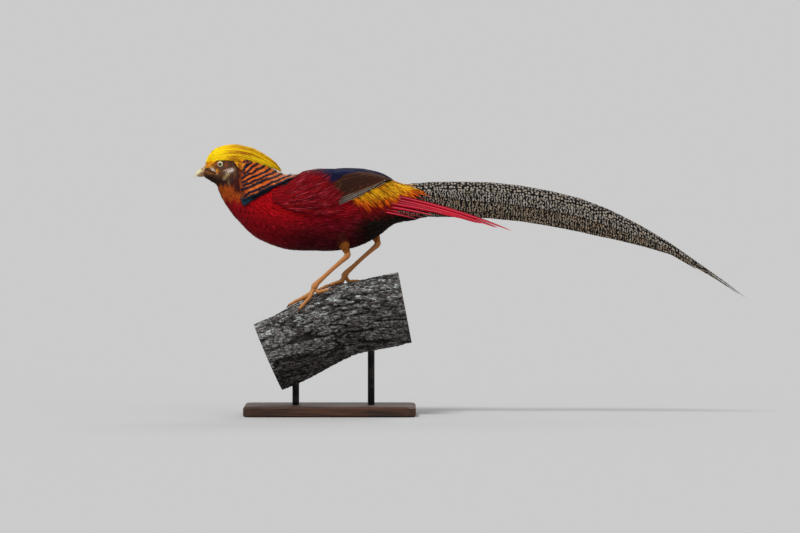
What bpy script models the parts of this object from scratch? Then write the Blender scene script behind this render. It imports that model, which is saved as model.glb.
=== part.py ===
"""Golden pheasant: a still, life-size museum model gripping a cut length of bough on a plain stand.

All sizes below are in millimetres and are turned into metres where each mesh is made.
The bird faces -X, its left side is -Y, the floor is z = 0 and the middle plane is y = 0.
"""

import math
import random

import bmesh
import bpy
import numpy as np
from mathutils import Vector
from mathutils.bvhtree import BVHTree

# Sizes and choices for the whole model
MM = 0.001
GAP = 0.35
FLAT_ANGLE = math.radians(0.7)
SEED = 4711
SECTION_POWER = 2.2
BODY_SIDES = 28
HEAD_SIDES = 22
UP = np.array([0.0, 0.0, 1.0])
FRONT_UP = np.array([-0.7, 0.0, 0.7])
SIDES = (("left", -1), ("right", 1))

# Rings of the body from the tail core to the bill: top x and z, bottom x and z, half width
BODY_RINGS = (
    (194, 376, 194, 356, 4),
    (170, 389, 170, 349, 9),
    (144, 399, 143, 341, 17),
    (115, 407, 112, 334, 28),
    (88, 421, 86, 314, 36),
    (56, 428, 54, 297, 43),
    (18, 429, 16, 288, 47),
    (-24, 426, -33, 287.5, 49),
    (-52, 421, -80, 291, 49),
    (-68, 419, -130, 311, 48),
    (-81, 419, -164, 342, 44),
    (-105, 426, -178, 360, 38),
    (-126, 435, -190, 379, 30),
    (-142, 443, -197, 397, 24),
    (-154, 450.5, -201, 404, 21),
    (-168, 456, -207, 408, 18.5),
    (-182, 459, -212.5, 412, 17),
    (-197, 456, -217, 414.5, 14.5),
    (-210, 447.5, -220.5, 417.5, 10.5),
    (-217.5, 437.5, -222, 418.5, 6.5),
)
TAIL_CUT = 3
NECK_CUT = 10
HEAD_CUT = 14
BILL_CUT = 19

# Tail: x, ridge z, lower edge z, half width
TAIL_STATIONS = (
    (119, 401, 364, 20),
    (149, 405, 352, 21),
    (175, 407.5, 348, 21),
    (228, 408, 347.5, 21),
    (280, 407, 344, 21),
    (332, 401.5, 337, 20),
    (385, 392, 327, 19),
    (438, 379, 315, 18),
    (490, 359, 301, 16),
    (542, 332.5, 286, 14),
    (595, 301, 272, 11),
    (648, 264, 244, 8),
    (691, 233.5, 222, 5),
    (726, 208, 203, 1.5),
)

# Crest: x, top z, lower edge z, half width
CREST_STATIONS = (
    (-217, 440, 435, 4),
    (-213, 451, 439, 9),
    (-206, 460, 444, 12.5),
    (-196, 467, 446, 15),
    (-182, 471, 446.5, 16.5),
    (-165, 472.5, 445.5, 16.5),
    (-152, 469.5, 446, 15.5),
    (-136, 462, 445, 14),
    (-119, 453, 440.5, 11.5),
    (-105, 444.5, 434, 8.5),
    (-94, 435.5, 428.5, 5),
    (-86, 425.5, 423.5, 1.5),
)

# Perch: centre line x and z, all of one radius
PERCH_LINE = ((-108.5, 101.5), (-66, 120), (-25.4, 141.8), (23.6, 164.9), (75.3, 176.8), (131.3, 187.6))
PERCH_RADIUS = 64
PERCH_SIDES = 18
BARK_DEPTH = 1.2
ROD_RADIUS = 6
ROD_PLACES = (("front", -60), ("back", 72))
ROD_SOCKET = 12
BASE_SIZE = (300, 190, 18)
BASE_BEVEL = 3

# Eye and bill
EYE_PLACE = (-191.1, 438.9)
EYE_RADIUS = 6.0
EYE_DEPTH = 3.9
LID_RADIUS = 0.9
BILL_UPPER = (
    (-217.6, 437.0, 424.9, 6.2),
    (-221.5, 434.6, 424.3, 5.6),
    (-226.0, 431.4, 423.6, 4.7),
    (-230.0, 428.6, 422.0, 3.7),
    (-233.0, 425.6, 419.4, 2.6),
    (-235.4, 421.0, 416.6, 1.3),
)
BILL_UPPER_TIP = (-236.4, 415.2)
BILL_LOWER = (
    (-219.9, 423.9, 418.4, 5.4),
    (-223.0, 423.3, 417.2, 4.6),
    (-226.5, 422.4, 417.3, 3.7),
    (-229.5, 421.1, 417.6, 2.7),
)
BILL_LOWER_TIP = (-232.3, 418.4)
NOSTRIL = (-223.2, 430.6, 4.5)

# Legs: the left one, then how far forward in x, y and z the right one stands from it
LEG_Y = 22
RIGHT_STEP = (52.5, 19.0)
THIGH = (
    (16, 333, 20, 15),
    (19, 318, 17, 13.5),
    (23, 303, 12.5, 10.5),
    (27.5, 292, 7.6, 6.6),
    (30.5, 284.5, 5.2, 4.6),
)
SHANK = (
    (30.65, 284.12, 4.6, 4.2),
    (31.57, 281.83, 5.2, 4.5),
    (29.6, 278.2, 5.2, 4.2),
    (26.0, 274.5, 4.6, 3.5),
    (17.0, 266.8, 3.9, 3.0),
    (3.0, 254.5, 3.6, 2.8),
    (-11.0, 241.5, 3.8, 3.0),
    (-19.5, 233.8, 4.5, 3.9),
    (-22.5, 231.0, 4.6, 4.2),
)
FOOT_BASE = (-26.0, 221.5)
TOES = (
    ("middle", ((-8, 2.5), (-20, 8), (-32, 13), (-43.5, 17)), 4.2, 2.5),
    ("outer", ((-6, -4), (-13, -9), (-20, -13.5), (-26, -17)), 3.9, 2.3),
    ("inner", ((-5, 6), (-12, 14.5), (-19, 22), (-25.5, 28)), 3.9, 2.3),
    ("hind", ((7, -1), (14, -2.5), (20, -3.5), (25, -4.5)), 3.7, 2.3),
)
CLAW_LENGTH = 9.5
CLAW_RADIUS = 1.9

# Wing, left side: edge points x and z seen from the side, front to back
WING_UPPER = ((-72, 389), (-62, 404), (-46, 415), (-20, 420), (20, 422), (58, 420), (88, 415), (108, 408))
WING_LOWER = ((-72, 383), (-68, 371), (-52, 364), (-18, 363), (14, 369), (46, 383), (76, 399), (106, 408))
WING_LIFT = 1.3
WING_THICK = 5.5

# Cape: front edge and middle line points of each row of tips, x and z, from the lowest row up
CAPE_ROWS = (
    ((-148, 377), (-57, 421)),
    ((-151, 393), (-84, 419)),
    ((-154, 408), (-108, 427)),
    ((-158, 424), (-133, 439)),
    ((-161, 433), (-141, 443)),
)
CAPE_COUNTS = (9, 9, 7, 6, 5)
CAPE_LENGTHS = (31, 30, 27, 23, 18)
CAPE_LIFTS = (-1.8, 0.9, 2.4, 2.8, 2.8)
CAPE_THICK = 1.0

# Crest locks: root x, tip x, count, spread in degrees, half width, room left below, front row first
CREST_ROWS = (
    (-212, -150, 3, 34, 5.2, 12.9),
    (-206, -130, 4, 52, 5.6, 10.7),
    (-197, -108, 5, 68, 5.6, 8.5),
    (-186, -87, 6, 84, 5.4, 6.3),
)
CREST_LAYER = 2.9
CREST_THICK = 1.9

# Wing feathers: first and last root, first and last tip, count, half width, lift at the tip
WING_TIERS = (
    ("primaries", (46, 387), (30, 379), (118, 412), (88, 399), 3, 4.0, 0.9),
    ("secondaries", (6, 375), (22, 404), (94, 405), (106, 421), 5, 4.8, 2.1),
    ("tertials", (-30, 406), (-12, 423), (62, 416), (98, 427), 3, 6.8, 4.2),
    ("coverts", (-44, 371), (-38, 396), (18, 380), (26, 404), 4, 5.0, 2.8),
    ("lesser coverts", (-66, 379), (-60, 401), (-28, 371), (-18, 408), 4, 5.8, 2.9),
)
WING_VANE_THICK = 1.0

# Tail feather pairs: tip x left and right, first and last share of the roof, inset, root x, stations
TAIL_PAIRS = (
    (726, 716, -0.07, 0.56, 0.0, 124, 12),
    (712, 698, 0.24, 0.84, 2.0, 126, 10),
    (640, 622, 0.48, 1.0, 4.0, 128, 8),
    (505, 490, 0.54, 1.0, 6.0, 125, 6),
    (360, 350, 0.6, 1.0, 8.0, 123, 4),
)
TAIL_VANE_THICK = 1.1

# Long crimson feathers at the tail's sides: root z, tip x, tip z, distance out from the tail, half width
TAIL_COVERTS = (
    (358, 284, 335, 2.2, 3.8),
    (367, 306, 329, 4.4, 4.2),
    (377, 250, 352, 3.4, 4.4),
    (388, 214, 374, 2.0, 4.4),
)


# Curves and surfaces
def smooth(values, s):
    """A smooth run of values through the rows of a table, at place s counted in rows."""
    table = np.asarray(values, float)
    last = len(table) - 1
    s = min(max(s, 0.0), float(last))
    i = min(int(s), last - 1)
    f = s - i
    a = table[max(i - 1, 0)]
    b = table[i]
    c = table[i + 1]
    d = table[min(i + 2, last)]
    return 0.5 * (2 * b + (c - a) * f + (2 * a - 5 * b + 4 * c - d) * f * f + (3 * b - a - 3 * c + d) * f**3)


def by_x(values, x):
    """Columns of a table read at x, its first column, along straight lines."""
    table = np.asarray(values, float)
    table = table[np.argsort(table[:, 0])]
    return np.array([np.interp(x, table[:, 0], table[:, k]) for k in range(1, table.shape[1])])


def soft_step(x):
    x = min(max(x, 0.0), 1.0)
    return x * x * (3 - 2 * x)


def unit(v):
    return v / max(np.linalg.norm(v), 1e-12)


def power(v, p):
    return math.copysign(abs(v) ** (2 / p), v)


def body_ring(s, count, along=0.0):
    """One ring of the body, moved along its own axis towards the head by a distance."""
    tx, tz, bx, bz, w = smooth(BODY_RINGS, s)
    top = np.array([tx, 0, tz])
    bottom = np.array([bx, 0, bz])
    middle = (top + bottom) / 2 + unit(np.array([bz - tz, 0, tx - bx])) * along
    half = (top - bottom) / 2
    ring = []
    for k in range(count):
        angle = 2 * math.pi * k / count
        up = power(math.cos(angle), SECTION_POWER)
        out = power(math.sin(angle), SECTION_POWER)
        ring.append(middle + half * up + np.array([0, w * out, 0]))
    return ring


class Surface:
    """A closed surface that feathers and limbs are laid on."""

    def __init__(self, verts, faces):
        points = np.array([tuple(v) for v in verts])
        room = 0.0
        for face in faces:
            for k in range(1, len(face) - 1):
                room += np.dot(points[face[0]], np.cross(points[face[k]], points[face[k + 1]]))
        if room < 0:
            faces = [tuple(reversed(face)) for face in faces]
        self.tree = BVHTree.FromPolygons([tuple(p) for p in points], faces)

    def near(self, point):
        place, normal, _, _ = self.tree.find_nearest(Vector(point))
        return np.array(place), np.array(normal)

    def cast(self, start, way):
        place, normal, _, _ = self.tree.ray_cast(Vector(start), Vector(way))
        if place is None:
            return None
        return np.array(place), np.array(normal)

    def clear(self, point, room):
        """The point, pushed out where needed to stand this far off the surface."""
        place, normal = self.near(point)
        height = float(np.dot(point - place, normal))
        if height < room:
            return place + normal * room
        return point


# Meshes and solids
def loft(rings, close=True):
    """A closed tube through rings of the same count, with flat ends."""
    count = len(rings[0])
    verts = [p for ring in rings for p in ring]
    faces = []
    for i in range(len(rings) - 1):
        for k in range(count):
            j = (k + 1) % count
            a = i * count
            b = a + count
            faces.append((a + k, a + j, b + j))
            faces.append((a + k, b + j, b + k))
    if close:
        faces.append(tuple(reversed(range(count))))
        faces.append(tuple(range(len(verts) - count, len(verts))))
    return verts, faces


def cone_loft(rings, tip):
    """A closed tube that ends in a point."""
    verts, faces = loft(rings)
    faces.pop()
    count = len(rings[0])
    start = len(verts) - count
    verts = verts + [tip]
    for k in range(count):
        faces.append((start + k, start + (k + 1) % count, len(verts) - 1))
    return verts, faces


def shell(inner, outer):
    """A closed sheet between two grids of points of the same size."""
    rows = len(inner)
    cols = len(inner[0])
    verts = [p for row in inner for p in row] + [p for row in outer for p in row]
    half = rows * cols
    faces = []
    for i in range(rows - 1):
        for k in range(cols - 1):
            a = i * cols + k
            b = a + cols
            faces.append((a, a + 1, b + 1))
            faces.append((a, b + 1, b))
            faces.append((half + a, half + b + 1, half + a + 1))
            faces.append((half + a, half + b, half + b + 1))
    rim = list(range(cols))
    rim += [i * cols + cols - 1 for i in range(1, rows)]
    rim += [(rows - 1) * cols + k for k in range(cols - 2, -1, -1)]
    rim += [i * cols for i in range(rows - 2, 0, -1)]
    for k in range(len(rim)):
        a = rim[k]
        b = rim[(k + 1) % len(rim)]
        faces.append((a, half + a, half + b))
        faces.append((a, half + b, b))
    return verts, faces


def vane(points, normals, widths, thick, lay=None, tilt=0.0):
    """A closed feather vane along points, thickest at its shaft, that ends in one point.

    Both faces are split into triangles alike, so that they never cross where the vane bends.
    """
    verts = []
    last = len(points) - 1
    for i in range(last):
        way = unit(points[i + 1] - points[max(i - 1, 0)])
        side = unit(np.cross(normals[i], way))
        half = thick[i] / 2
        left = points[i] - side * widths[i]
        right = points[i] + side * widths[i]
        if lay:
            left = lay(left, i)
            right = lay(right, i)
        left = left - normals[i] * tilt
        right = right + normals[i] * tilt
        verts += [left, points[i] + normals[i] * half, right, points[i] - normals[i] * half]
    verts.append(points[last])
    faces = [(0, 1, 2), (0, 2, 3)]
    for i in range(last - 1):
        a = 4 * i
        b = a + 4
        faces += [(a, b + 1, a + 1), (a, b, b + 1)]
        faces += [(a, a + 3, b + 3), (a, b + 3, b)]
        faces += [(a + 1, b + 1, a + 2), (b + 1, b + 2, a + 2)]
        faces += [(a + 2, b + 3, a + 3), (a + 2, b + 2, b + 3)]
    a = 4 * (last - 1)
    b = 4 * last
    faces += [(a, b, a + 1), (a + 1, b, a + 2), (a + 2, b, a + 3), (a + 3, b, a)]
    return verts, faces


def comb(surface, start, heading, length, shares):
    """Places and normals along a surface, walked from a start, at shares of a length."""
    place, normal = surface.near(start)
    steps = 24
    places = [place]
    normals = [normal]
    for _ in range(steps):
        heading = unit(heading - normal * np.dot(heading, normal))
        place, normal = surface.near(place + heading * length / steps)
        places.append(place)
        normals.append(normal)
    picked = [int(round(share * steps)) for share in shares]
    return [places[i] for i in picked], [normals[i] for i in picked]


def tube(path, radii, count, up=UP):
    """Rings of an elliptic tube round a path: radii are across the path and along up."""
    points = [np.asarray(p, float) for p in path]
    rings = []
    for i, p in enumerate(points):
        ahead = points[min(i + 1, len(points) - 1)] - points[max(i - 1, 0)]
        way = unit(ahead)
        side = unit(np.cross(up, way))
        over = np.cross(way, side)
        ring = []
        for k in range(count):
            angle = 2 * math.pi * k / count
            ring.append(p + over * math.cos(angle) * radii[i][0] + side * math.sin(angle) * radii[i][1])
        rings.append(ring)
    return rings


def new_object(name, verts, faces):
    """A mesh object in metres whose faces look out."""
    mesh = bpy.data.meshes.new(name)
    mesh.from_pydata([tuple(np.asarray(v, float) * MM) for v in verts], [], faces)
    work = bmesh.new()
    work.from_mesh(mesh)
    bmesh.ops.remove_doubles(work, verts=work.verts, dist=1e-7)
    bmesh.ops.triangulate(work, faces=[f for f in work.faces if len(f.verts) > 3])
    if work.calc_volume(signed=True) < 0:
        bmesh.ops.reverse_faces(work, faces=work.faces)
    work.to_mesh(mesh)
    work.free()
    obj = bpy.data.objects.new(name, mesh)
    bpy.context.scene.collection.objects.link(obj)
    return obj


def merged_flats(mesh):
    """The mesh with flat fragments merged, where that leaves every edge between two faces."""
    for angle in (FLAT_ANGLE, FLAT_ANGLE / 8, 0):
        work = bmesh.new()
        work.from_mesh(mesh)
        bmesh.ops.dissolve_degenerate(work, dist=1e-8, edges=work.edges)
        if angle:
            bmesh.ops.dissolve_limit(work, angle_limit=angle, verts=work.verts, edges=work.edges)
        bmesh.ops.triangulate(work, faces=work.faces)
        if not angle or all(edge.is_manifold for edge in work.edges):
            return work
        work.free()


def keep_largest(obj):
    """Keeps only the closed surface that holds the most room."""
    work = merged_flats(obj.data)
    work.faces.ensure_lookup_table()
    seen = set()
    groups = []
    for face in work.faces:
        if face in seen:
            continue
        group = []
        todo = [face]
        seen.add(face)
        while todo:
            f = todo.pop()
            group.append(f)
            for edge in f.edges:
                for other in edge.link_faces:
                    if other not in seen:
                        seen.add(other)
                        todo.append(other)
        room = sum(f.verts[0].co.dot(f.verts[1].co.cross(f.verts[2].co)) for f in group)
        groups.append((abs(room), group))
    groups.sort(key=lambda g: -g[0])
    for _, group in groups[1:]:
        bmesh.ops.delete(work, geom=group, context="FACES")
    loose = [v for v in work.verts if not v.link_faces]
    bmesh.ops.delete(work, geom=loose, context="VERTS")
    work.to_mesh(obj.data)
    work.free()


def combine(obj, pieces, operation, solver="EXACT"):
    """One Boolean of the object with all the pieces, applied, with the pieces then removed."""
    group = bpy.data.collections.new("pieces")
    bpy.context.scene.collection.children.link(group)
    for piece in pieces:
        bpy.context.scene.collection.objects.unlink(piece)
        group.objects.link(piece)
    step = obj.modifiers.new("join", "BOOLEAN")
    step.operation = operation
    step.operand_type = "COLLECTION"
    step.collection = group
    step.solver = solver
    bpy.context.view_layer.update()
    graph = bpy.context.evaluated_depsgraph_get()
    result = bpy.data.meshes.new_from_object(obj.evaluated_get(graph))
    obj.modifiers.clear()
    old = obj.data
    obj.data = result
    bpy.data.meshes.remove(old)
    for piece in list(group.objects):
        mesh = piece.data
        bpy.data.objects.remove(piece)
        bpy.data.meshes.remove(mesh)
    bpy.data.collections.remove(group)
    keep_largest(obj)


def paint(obj, name, colour, roughness, metallic=0.0):
    """Gives the object its own plain material."""
    material = bpy.data.materials.new(name)
    material.use_nodes = True
    shader = material.node_tree.nodes["Principled BSDF"]
    shader.inputs["Base Color"].default_value = (*colour, 1)
    shader.inputs["Roughness"].default_value = roughness
    shader.inputs["Metallic"].default_value = metallic
    material.diffuse_color = (*colour, 1)
    obj.data.materials.clear()
    obj.data.materials.append(material)


# Body surface, and places on it
def build_body_surface():
    steps = 190
    count = 120
    rings = [body_ring(BILL_CUT * i / steps, count) for i in range(steps + 1)]
    return Surface(*loft(rings))


def on_flank(body, x, z, side):
    """The body's point seen at x and z from one side."""
    hit = body.cast((x, side * 300, z), (0, -side, 0))
    if hit is None:
        return body.near(np.array([x, side * 1.0, z]))
    return hit


def around(body, x, angle, side):
    """The body's point in the plane of one x, at an angle down from the top."""
    high = body.cast((x, 0, 900), (0, 0, -1))[0][2]
    low = body.cast((x, 0, -100), (0, 0, 1))[0][2]
    centre = np.array([x, 0, (high + low) / 2])
    way = np.array([0, side * math.sin(angle), math.cos(angle)])
    return body.cast(centre + way * 300, -way)


def angle_of(body, x, z, side):
    """The angle down from the top at which the flank shows this z."""
    place, _ = on_flank(body, x, z, side)
    high = body.cast((x, 0, 900), (0, 0, -1))[0][2]
    low = body.cast((x, 0, -100), (0, 0, 1))[0][2]
    return math.atan2(abs(place[1]), place[2] - (high + low) / 2)


# Torso, neck and head
def build_torso():
    rings = [body_ring(TAIL_CUT + 0.5 * i, BODY_SIDES) for i in range(15)]
    obj = new_object("torso", *loft(rings))
    paint(obj, "torso_crimson_feathers", (0.42, 0.01, 0.02), 0.7)
    return obj


def grown_torso(body, room):
    """The torso grown by a small distance, as points and faces."""
    rings = []
    for i in range(15):
        ring = []
        for p in body_ring(TAIL_CUT + 0.5 * i, BODY_SIDES):
            _, normal = body.near(p)
            ring.append(p + normal * room)
        rings.append(ring)
    return loft(rings)


def cape_line(body, row, count, side):
    """Points of one row of cape tips, from the middle line down one side to the front edge.

    Seen from the side the row is the straight line between its two ends.
    """
    (fx, fz), (bx, bz) = row
    last = angle_of(body, fx, fz, side)
    points = [around(body, bx, 0.0, side)]
    for k in range(1, count):
        angle = last * k / (count - 1)
        low = fx
        high = bx
        for _ in range(16):
            x = (low + high) / 2
            line = fz + (bz - fz) * (x - fx) / (bx - fx)
            if around(body, x, angle, side)[0][2] > line:
                low = x
            else:
                high = x
        points.append(around(body, (low + high) / 2, angle, side))
    return points


def build_neck(body):
    rings = [body_ring(NECK_CUT, BODY_SIDES, GAP)]
    rings += [body_ring(NECK_CUT + 0.5 * i, BODY_SIDES) for i in range(1, 8)]
    rings += [body_ring(HEAD_CUT, BODY_SIDES, 0)]
    obj = new_object("neck", *loft(rings))
    combine(obj, cape_vanes(body), "UNION", "MANIFOLD")
    paint(obj, "neck_orange_cape", (0.8, 0.25, 0.02), 0.6)
    return obj


def beyond(point, ring):
    """How far a point stands from the plane of a cut: ahead of the torso's, or behind the head's."""
    tx, tz, bx, bz, _ = BODY_RINGS[ring]
    ahead = unit(np.array([bz - tz, 0, tx - bx]))
    distance = float(np.dot(point - np.array([tx, 0, tz]), ahead))
    return -distance if ring == HEAD_CUT else distance


def cape_vanes(body):
    """Rows of broad cape feathers from the nape back over the shoulders, each over the next row down."""
    pick = random.Random(SEED + 1)
    shares = (0, 0.42, 0.78, 0.94, 1.0)
    width = (0.45, 0.84, 1.0, 0.72)
    pieces = []
    for number, row in enumerate(CAPE_ROWS):
        count = CAPE_COUNTS[number]
        fine = 41
        left = cape_line(body, row, fine, -1)
        right = cape_line(body, row, fine, 1)
        line = list(reversed(left)) + right[1:]
        places = [p for p, _ in line]
        run = np.concatenate([[0], np.cumsum([np.linalg.norm(b - a) for a, b in zip(places, places[1:])])])
        half = run[-1] / (count - 1) * 0.57
        for k in range(count):
            at = run[-1] * (k + 0.5 * (number % 2) * (k < count - 1)) / (count - 1)
            i = int(min(np.searchsorted(run, at), len(places) - 1))
            normal = line[i][1]
            along = unit(places[min(i + 3, len(places) - 1)] - places[max(i - 3, 0)])
            back = unit(np.cross(along, normal))
            if np.dot(back, (0.6, 0, -0.8)) < 0:
                back = -back
            length = CAPE_LENGTHS[number] * pick.uniform(0.96, 1.04)
            length = min(length, beyond(places[i], HEAD_CUT) - 3.0)
            if beyond(places[i], NECK_CUT) < 0:
                for _ in range(9):
                    if beyond(comb(body, places[i], -back, length * 0.55, [1])[0][0], NECK_CUT) > 0.5:
                        break
                    length *= 1.06
            found, normals = comb(body, places[i], -back, length, [1 - q for q in reversed(shares)])
            found.reverse()
            normals.reverse()
            lifts = [h - 0.15 * number for h in CAPE_LIFTS]
            points = [p + n * h for p, n, h in zip(found, normals, lifts)]
            off = k - (count - 1) / 2
            tilt = 0.45 * (1 if off > 0 else -1 if off < 0 else 0)

            def lay(point, i, lifts=lifts):
                place, n = body.near(point)
                return place + n * (lifts[i] - 0.05)

            widths = [half * w * pick.uniform(0.96, 1.04) for w in width]
            thick = [CAPE_THICK * q for q in (1, 1, 0.9, 0.6)]
            mesh = vane(points, normals, widths, thick, lay, -tilt)
            pieces.append(new_object("cape_vane", *mesh))
    return pieces


def crest_point(x, angle, depth=0.0):
    """A point of the crest's arch at x, with the angle from its top and a depth below it."""
    top, low, wide = by_x(CREST_STATIONS, x)
    high = max(top - low - depth, 0.5)
    wide = max(wide - depth * 0.85, 0.5)
    return np.array([x, wide * math.sin(angle), low + high * math.cos(angle)])


def crest_depth(row, x):
    """How far below the crest's outer face a row lies at x: under every row in front that still covers it."""
    depth = 0.0
    for ahead in CREST_ROWS[:row]:
        depth += CREST_LAYER * (1 - soft_step((x - ahead[1] + 6) / 16))
    return depth


def crest_place(body, row, x, angle):
    """A place on one row of locks: as deep under the crest's outer face as the rows over it, clear of the cape."""
    below = CREST_ROWS[row][5]
    outer = crest_point(x, angle)
    place, normal = body.near(outer)
    height = float(np.dot(outer - place, normal))
    height = max(height - crest_depth(row, x), below if x > -168 else 1.2)
    return place, normal, height


def crest_locks(body):
    """Silky locks from the forehead and crown, combed back over the nape in overlapping rows."""
    pick = random.Random(SEED + 2)
    pieces = []
    width = (0.6, 0.95, 1.0, 0.7)
    for row, (root, tip, count, spread, half, _) in enumerate(CREST_ROWS):
        for k in range(count):
            share = 2 * k / (count - 1) - 1
            angle = math.radians(spread * share)
            end = tip - abs(share) * (tip - root) * 0.16 + pick.uniform(-2, 2)
            tilt = 0.6 * (1 if share > 0.01 else -1 if share < -0.01 else 0)
            points = []
            normals = []
            lefts = []
            rights = []
            for i, q in enumerate((0.0, 0.22, 0.55, 0.85, 1.0)):
                x = root + (end - root) * q
                turn = angle * (1 - 0.1 * q)
                place, normal, height = crest_place(body, row, x, turn)
                height = -2.4 if i == 0 else height
                points.append(place + normal * height)
                normals.append(normal)
                top, low, wide = by_x(CREST_STATIONS, x)
                reach = half * width[min(i, 3)] * (wide + 4) / 20.5 * pick.uniform(0.96, 1.04)
                for edge, sign in ((lefts, -1), (rights, 1)):
                    step = sign * 2 * reach / (wide + top - low)
                    side_place, side_normal, side_height = crest_place(body, row, x, turn + step)
                    side_height = -2.4 if i == 0 else min(side_height, height + 1.0)
                    edge.append(side_place + side_normal * (side_height + sign * tilt))
            thick = [CREST_THICK * q for q in (1, 1, 0.9, 0.7, 0.5)]
            pieces.append(new_object("crest_lock", *strip(points, normals, lefts, rights, thick)))
    return pieces


def eye_centre(body, side):
    place, _ = on_flank(body, EYE_PLACE[0], EYE_PLACE[1], side)
    return place - np.array([0, side * EYE_DEPTH, 0])


def ball_mesh(centre, radius, rings, count):
    verts = []
    faces = []
    for i in range(1, rings):
        a = math.pi * i / rings
        for k in range(count):
            b = 2 * math.pi * k / count
            way = np.array([math.sin(a) * math.cos(b), math.cos(a), math.sin(a) * math.sin(b)])
            verts.append(centre + way * radius)
    for i in range(rings - 2):
        for k in range(count):
            j = (k + 1) % count
            faces.append((i * count + k, i * count + j, (i + 1) * count + j))
            faces.append((i * count + k, (i + 1) * count + j, (i + 1) * count + k))
    verts.append(centre + np.array([0, radius, 0]))
    verts.append(centre - np.array([0, radius, 0]))
    last = (rings - 2) * count
    for k in range(count):
        j = (k + 1) % count
        faces.append((k, len(verts) - 2, j))
        faces.append((last + k, last + j, len(verts) - 1))
    return verts, faces


def ball(name, centre, radius, rings=8, count=14):
    return new_object(name, *ball_mesh(centre, radius, rings, count))


def lid_ring(body, side):
    """A raised ring of lid round the eye, a little pointed before and behind."""
    centre = eye_centre(body, side)
    rings = []
    count = 16
    for k in range(count):
        a = 2 * math.pi * k / count
        way = np.array([math.cos(a), 0, math.sin(a)])
        across = 5.9 + 0.5 * abs(math.cos(a))
        out = np.array([0, side, 0])
        middle = centre + way * across + out * (EYE_DEPTH - 0.9)
        ring = []
        for j in range(5):
            b = 2 * math.pi * j / 5
            ring.append(middle + way * LID_RADIUS * math.cos(b) + out * 1.6 * math.sin(b))
        rings.append(ring)
    verts, faces = loft(rings + [rings[0]], close=False)
    return new_object("lid", verts, faces)


def mouth_wedge(side):
    """A thin wedge that cuts the corner of the mouth into the side of the head."""
    rings = []
    for x, z, high in ((-224, 424.2, 0.7), (-214, 424.6, 0.6), (-206.5, 425.8, 0.15)):
        inner = 2.5 if x < -210 else 8.5
        rings.append([
            np.array([x, side * inner, z]),
            np.array([x, side * 25, z + high * 3]),
            np.array([x, side * 25, z - high * 3]),
        ])
    return new_object("mouth", *loft(rings))


def nostril_pit(side):
    """A small slanting oval that is sunk into the side of the upper bill."""
    verts, faces = ball_mesh(np.zeros(3), 1.0, 6, 10)
    lean = math.radians(14)
    placed = []
    for x, y, z in verts:
        x, z = x * 2.1, z * 0.85
        turned = np.array([x * math.cos(lean) + z * math.sin(lean), y * 1.3, z * math.cos(lean) - x * math.sin(lean)])
        placed.append(turned + np.array([NOSTRIL[0], side * NOSTRIL[2], NOSTRIL[1]]))
    return new_object("nostril", placed, faces)


def build_head(body):
    rings = [body_ring(HEAD_CUT, HEAD_SIDES, GAP)]
    rings += [body_ring(HEAD_CUT + 0.5 * i, HEAD_SIDES) for i in range(1, 11)]
    obj = new_object("head", *loft(rings))
    pieces = crest_locks(body)
    pieces += [lid_ring(body, side) for _, side in SIDES]
    combine(obj, pieces, "UNION")
    cuts = [ball("socket", eye_centre(body, side), EYE_RADIUS + 2 * GAP) for _, side in SIDES]
    cuts += [mouth_wedge(side) for _, side in SIDES]
    combine(obj, cuts, "DIFFERENCE")
    paint(obj, "head_golden_crest", (0.85, 0.5, 0.02), 0.5)
    return obj


def build_eyes(body):
    for name, side in SIDES:
        obj = ball("eye_" + name, eye_centre(body, side), EYE_RADIUS)
        paint(obj, "eye_%s_glass" % name, (0.75, 0.6, 0.3), 0.1)


def bill_ring(x, top, low, wide, arch, count=12):
    """A section of the bill: arched above when arch is 1, below when it is -1."""
    ring = []
    for k in range(count):
        a = 2 * math.pi * k / count
        up = math.cos(a) * arch
        if up > 0:
            z = up ** 1.2
        else:
            z = -(abs(up) ** 1.6) * 0.55
        share = (z + 0.55) / 1.55
        z = low + (top - low) * share if arch > 0 else top - (top - low) * share
        ring.append(np.array([x, wide * math.sin(a), z]))
    return ring


def against_face(point):
    """The point moved along x to stand a gap off the flat front of the head."""
    tx, tz, bx, bz, _ = BODY_RINGS[BILL_CUT]
    x = bx + (tx - bx) * (point[2] - bz) / (tz - bz)
    return np.array([x - GAP * 1.1, point[1], point[2]])


def build_bill():
    rings = [bill_ring(x, top, low, wide, 1) for x, top, low, wide in BILL_UPPER]
    rings[0] = [against_face(p) for p in rings[0]]
    tip = np.array([BILL_UPPER_TIP[0], 0, BILL_UPPER_TIP[1]])
    upper = new_object("bill_upper", *cone_loft(rings, tip))
    combine(upper, [nostril_pit(side) for _, side in SIDES], "DIFFERENCE")
    paint(upper, "bill_upper_horn", (0.72, 0.55, 0.3), 0.35)
    rings = [bill_ring(x, top, low, wide, -1) for x, top, low, wide in BILL_LOWER]
    rings[0] = [against_face(p) for p in rings[0]]
    tip = np.array([BILL_LOWER_TIP[0], 0, BILL_LOWER_TIP[1]])
    lower = new_object("bill_lower", *cone_loft(rings, tip))
    paint(lower, "bill_lower_horn", (0.68, 0.5, 0.27), 0.35)


# Wings
def wing_grid(body, side, cols=12, rows=9):
    """Body points under a folded wing, row by row from front to back, from lower to upper edge."""
    grid = []
    for i in range(cols):
        s = (len(WING_UPPER) - 1) * i / (cols - 1)
        ux, uz = smooth(WING_UPPER, s)
        lx, lz = smooth(WING_LOWER, s)
        high = angle_of(body, ux, uz, side)
        low = angle_of(body, lx, lz, side)
        high = max(high, math.radians(9))
        low = max(low, high + math.radians(2))
        line = []
        for k in range(rows):
            v = k / (rows - 1)
            line.append(around(body, lx + (ux - lx) * v, low + (high - low) * v, side))
        grid.append(line)
    return grid


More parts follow.
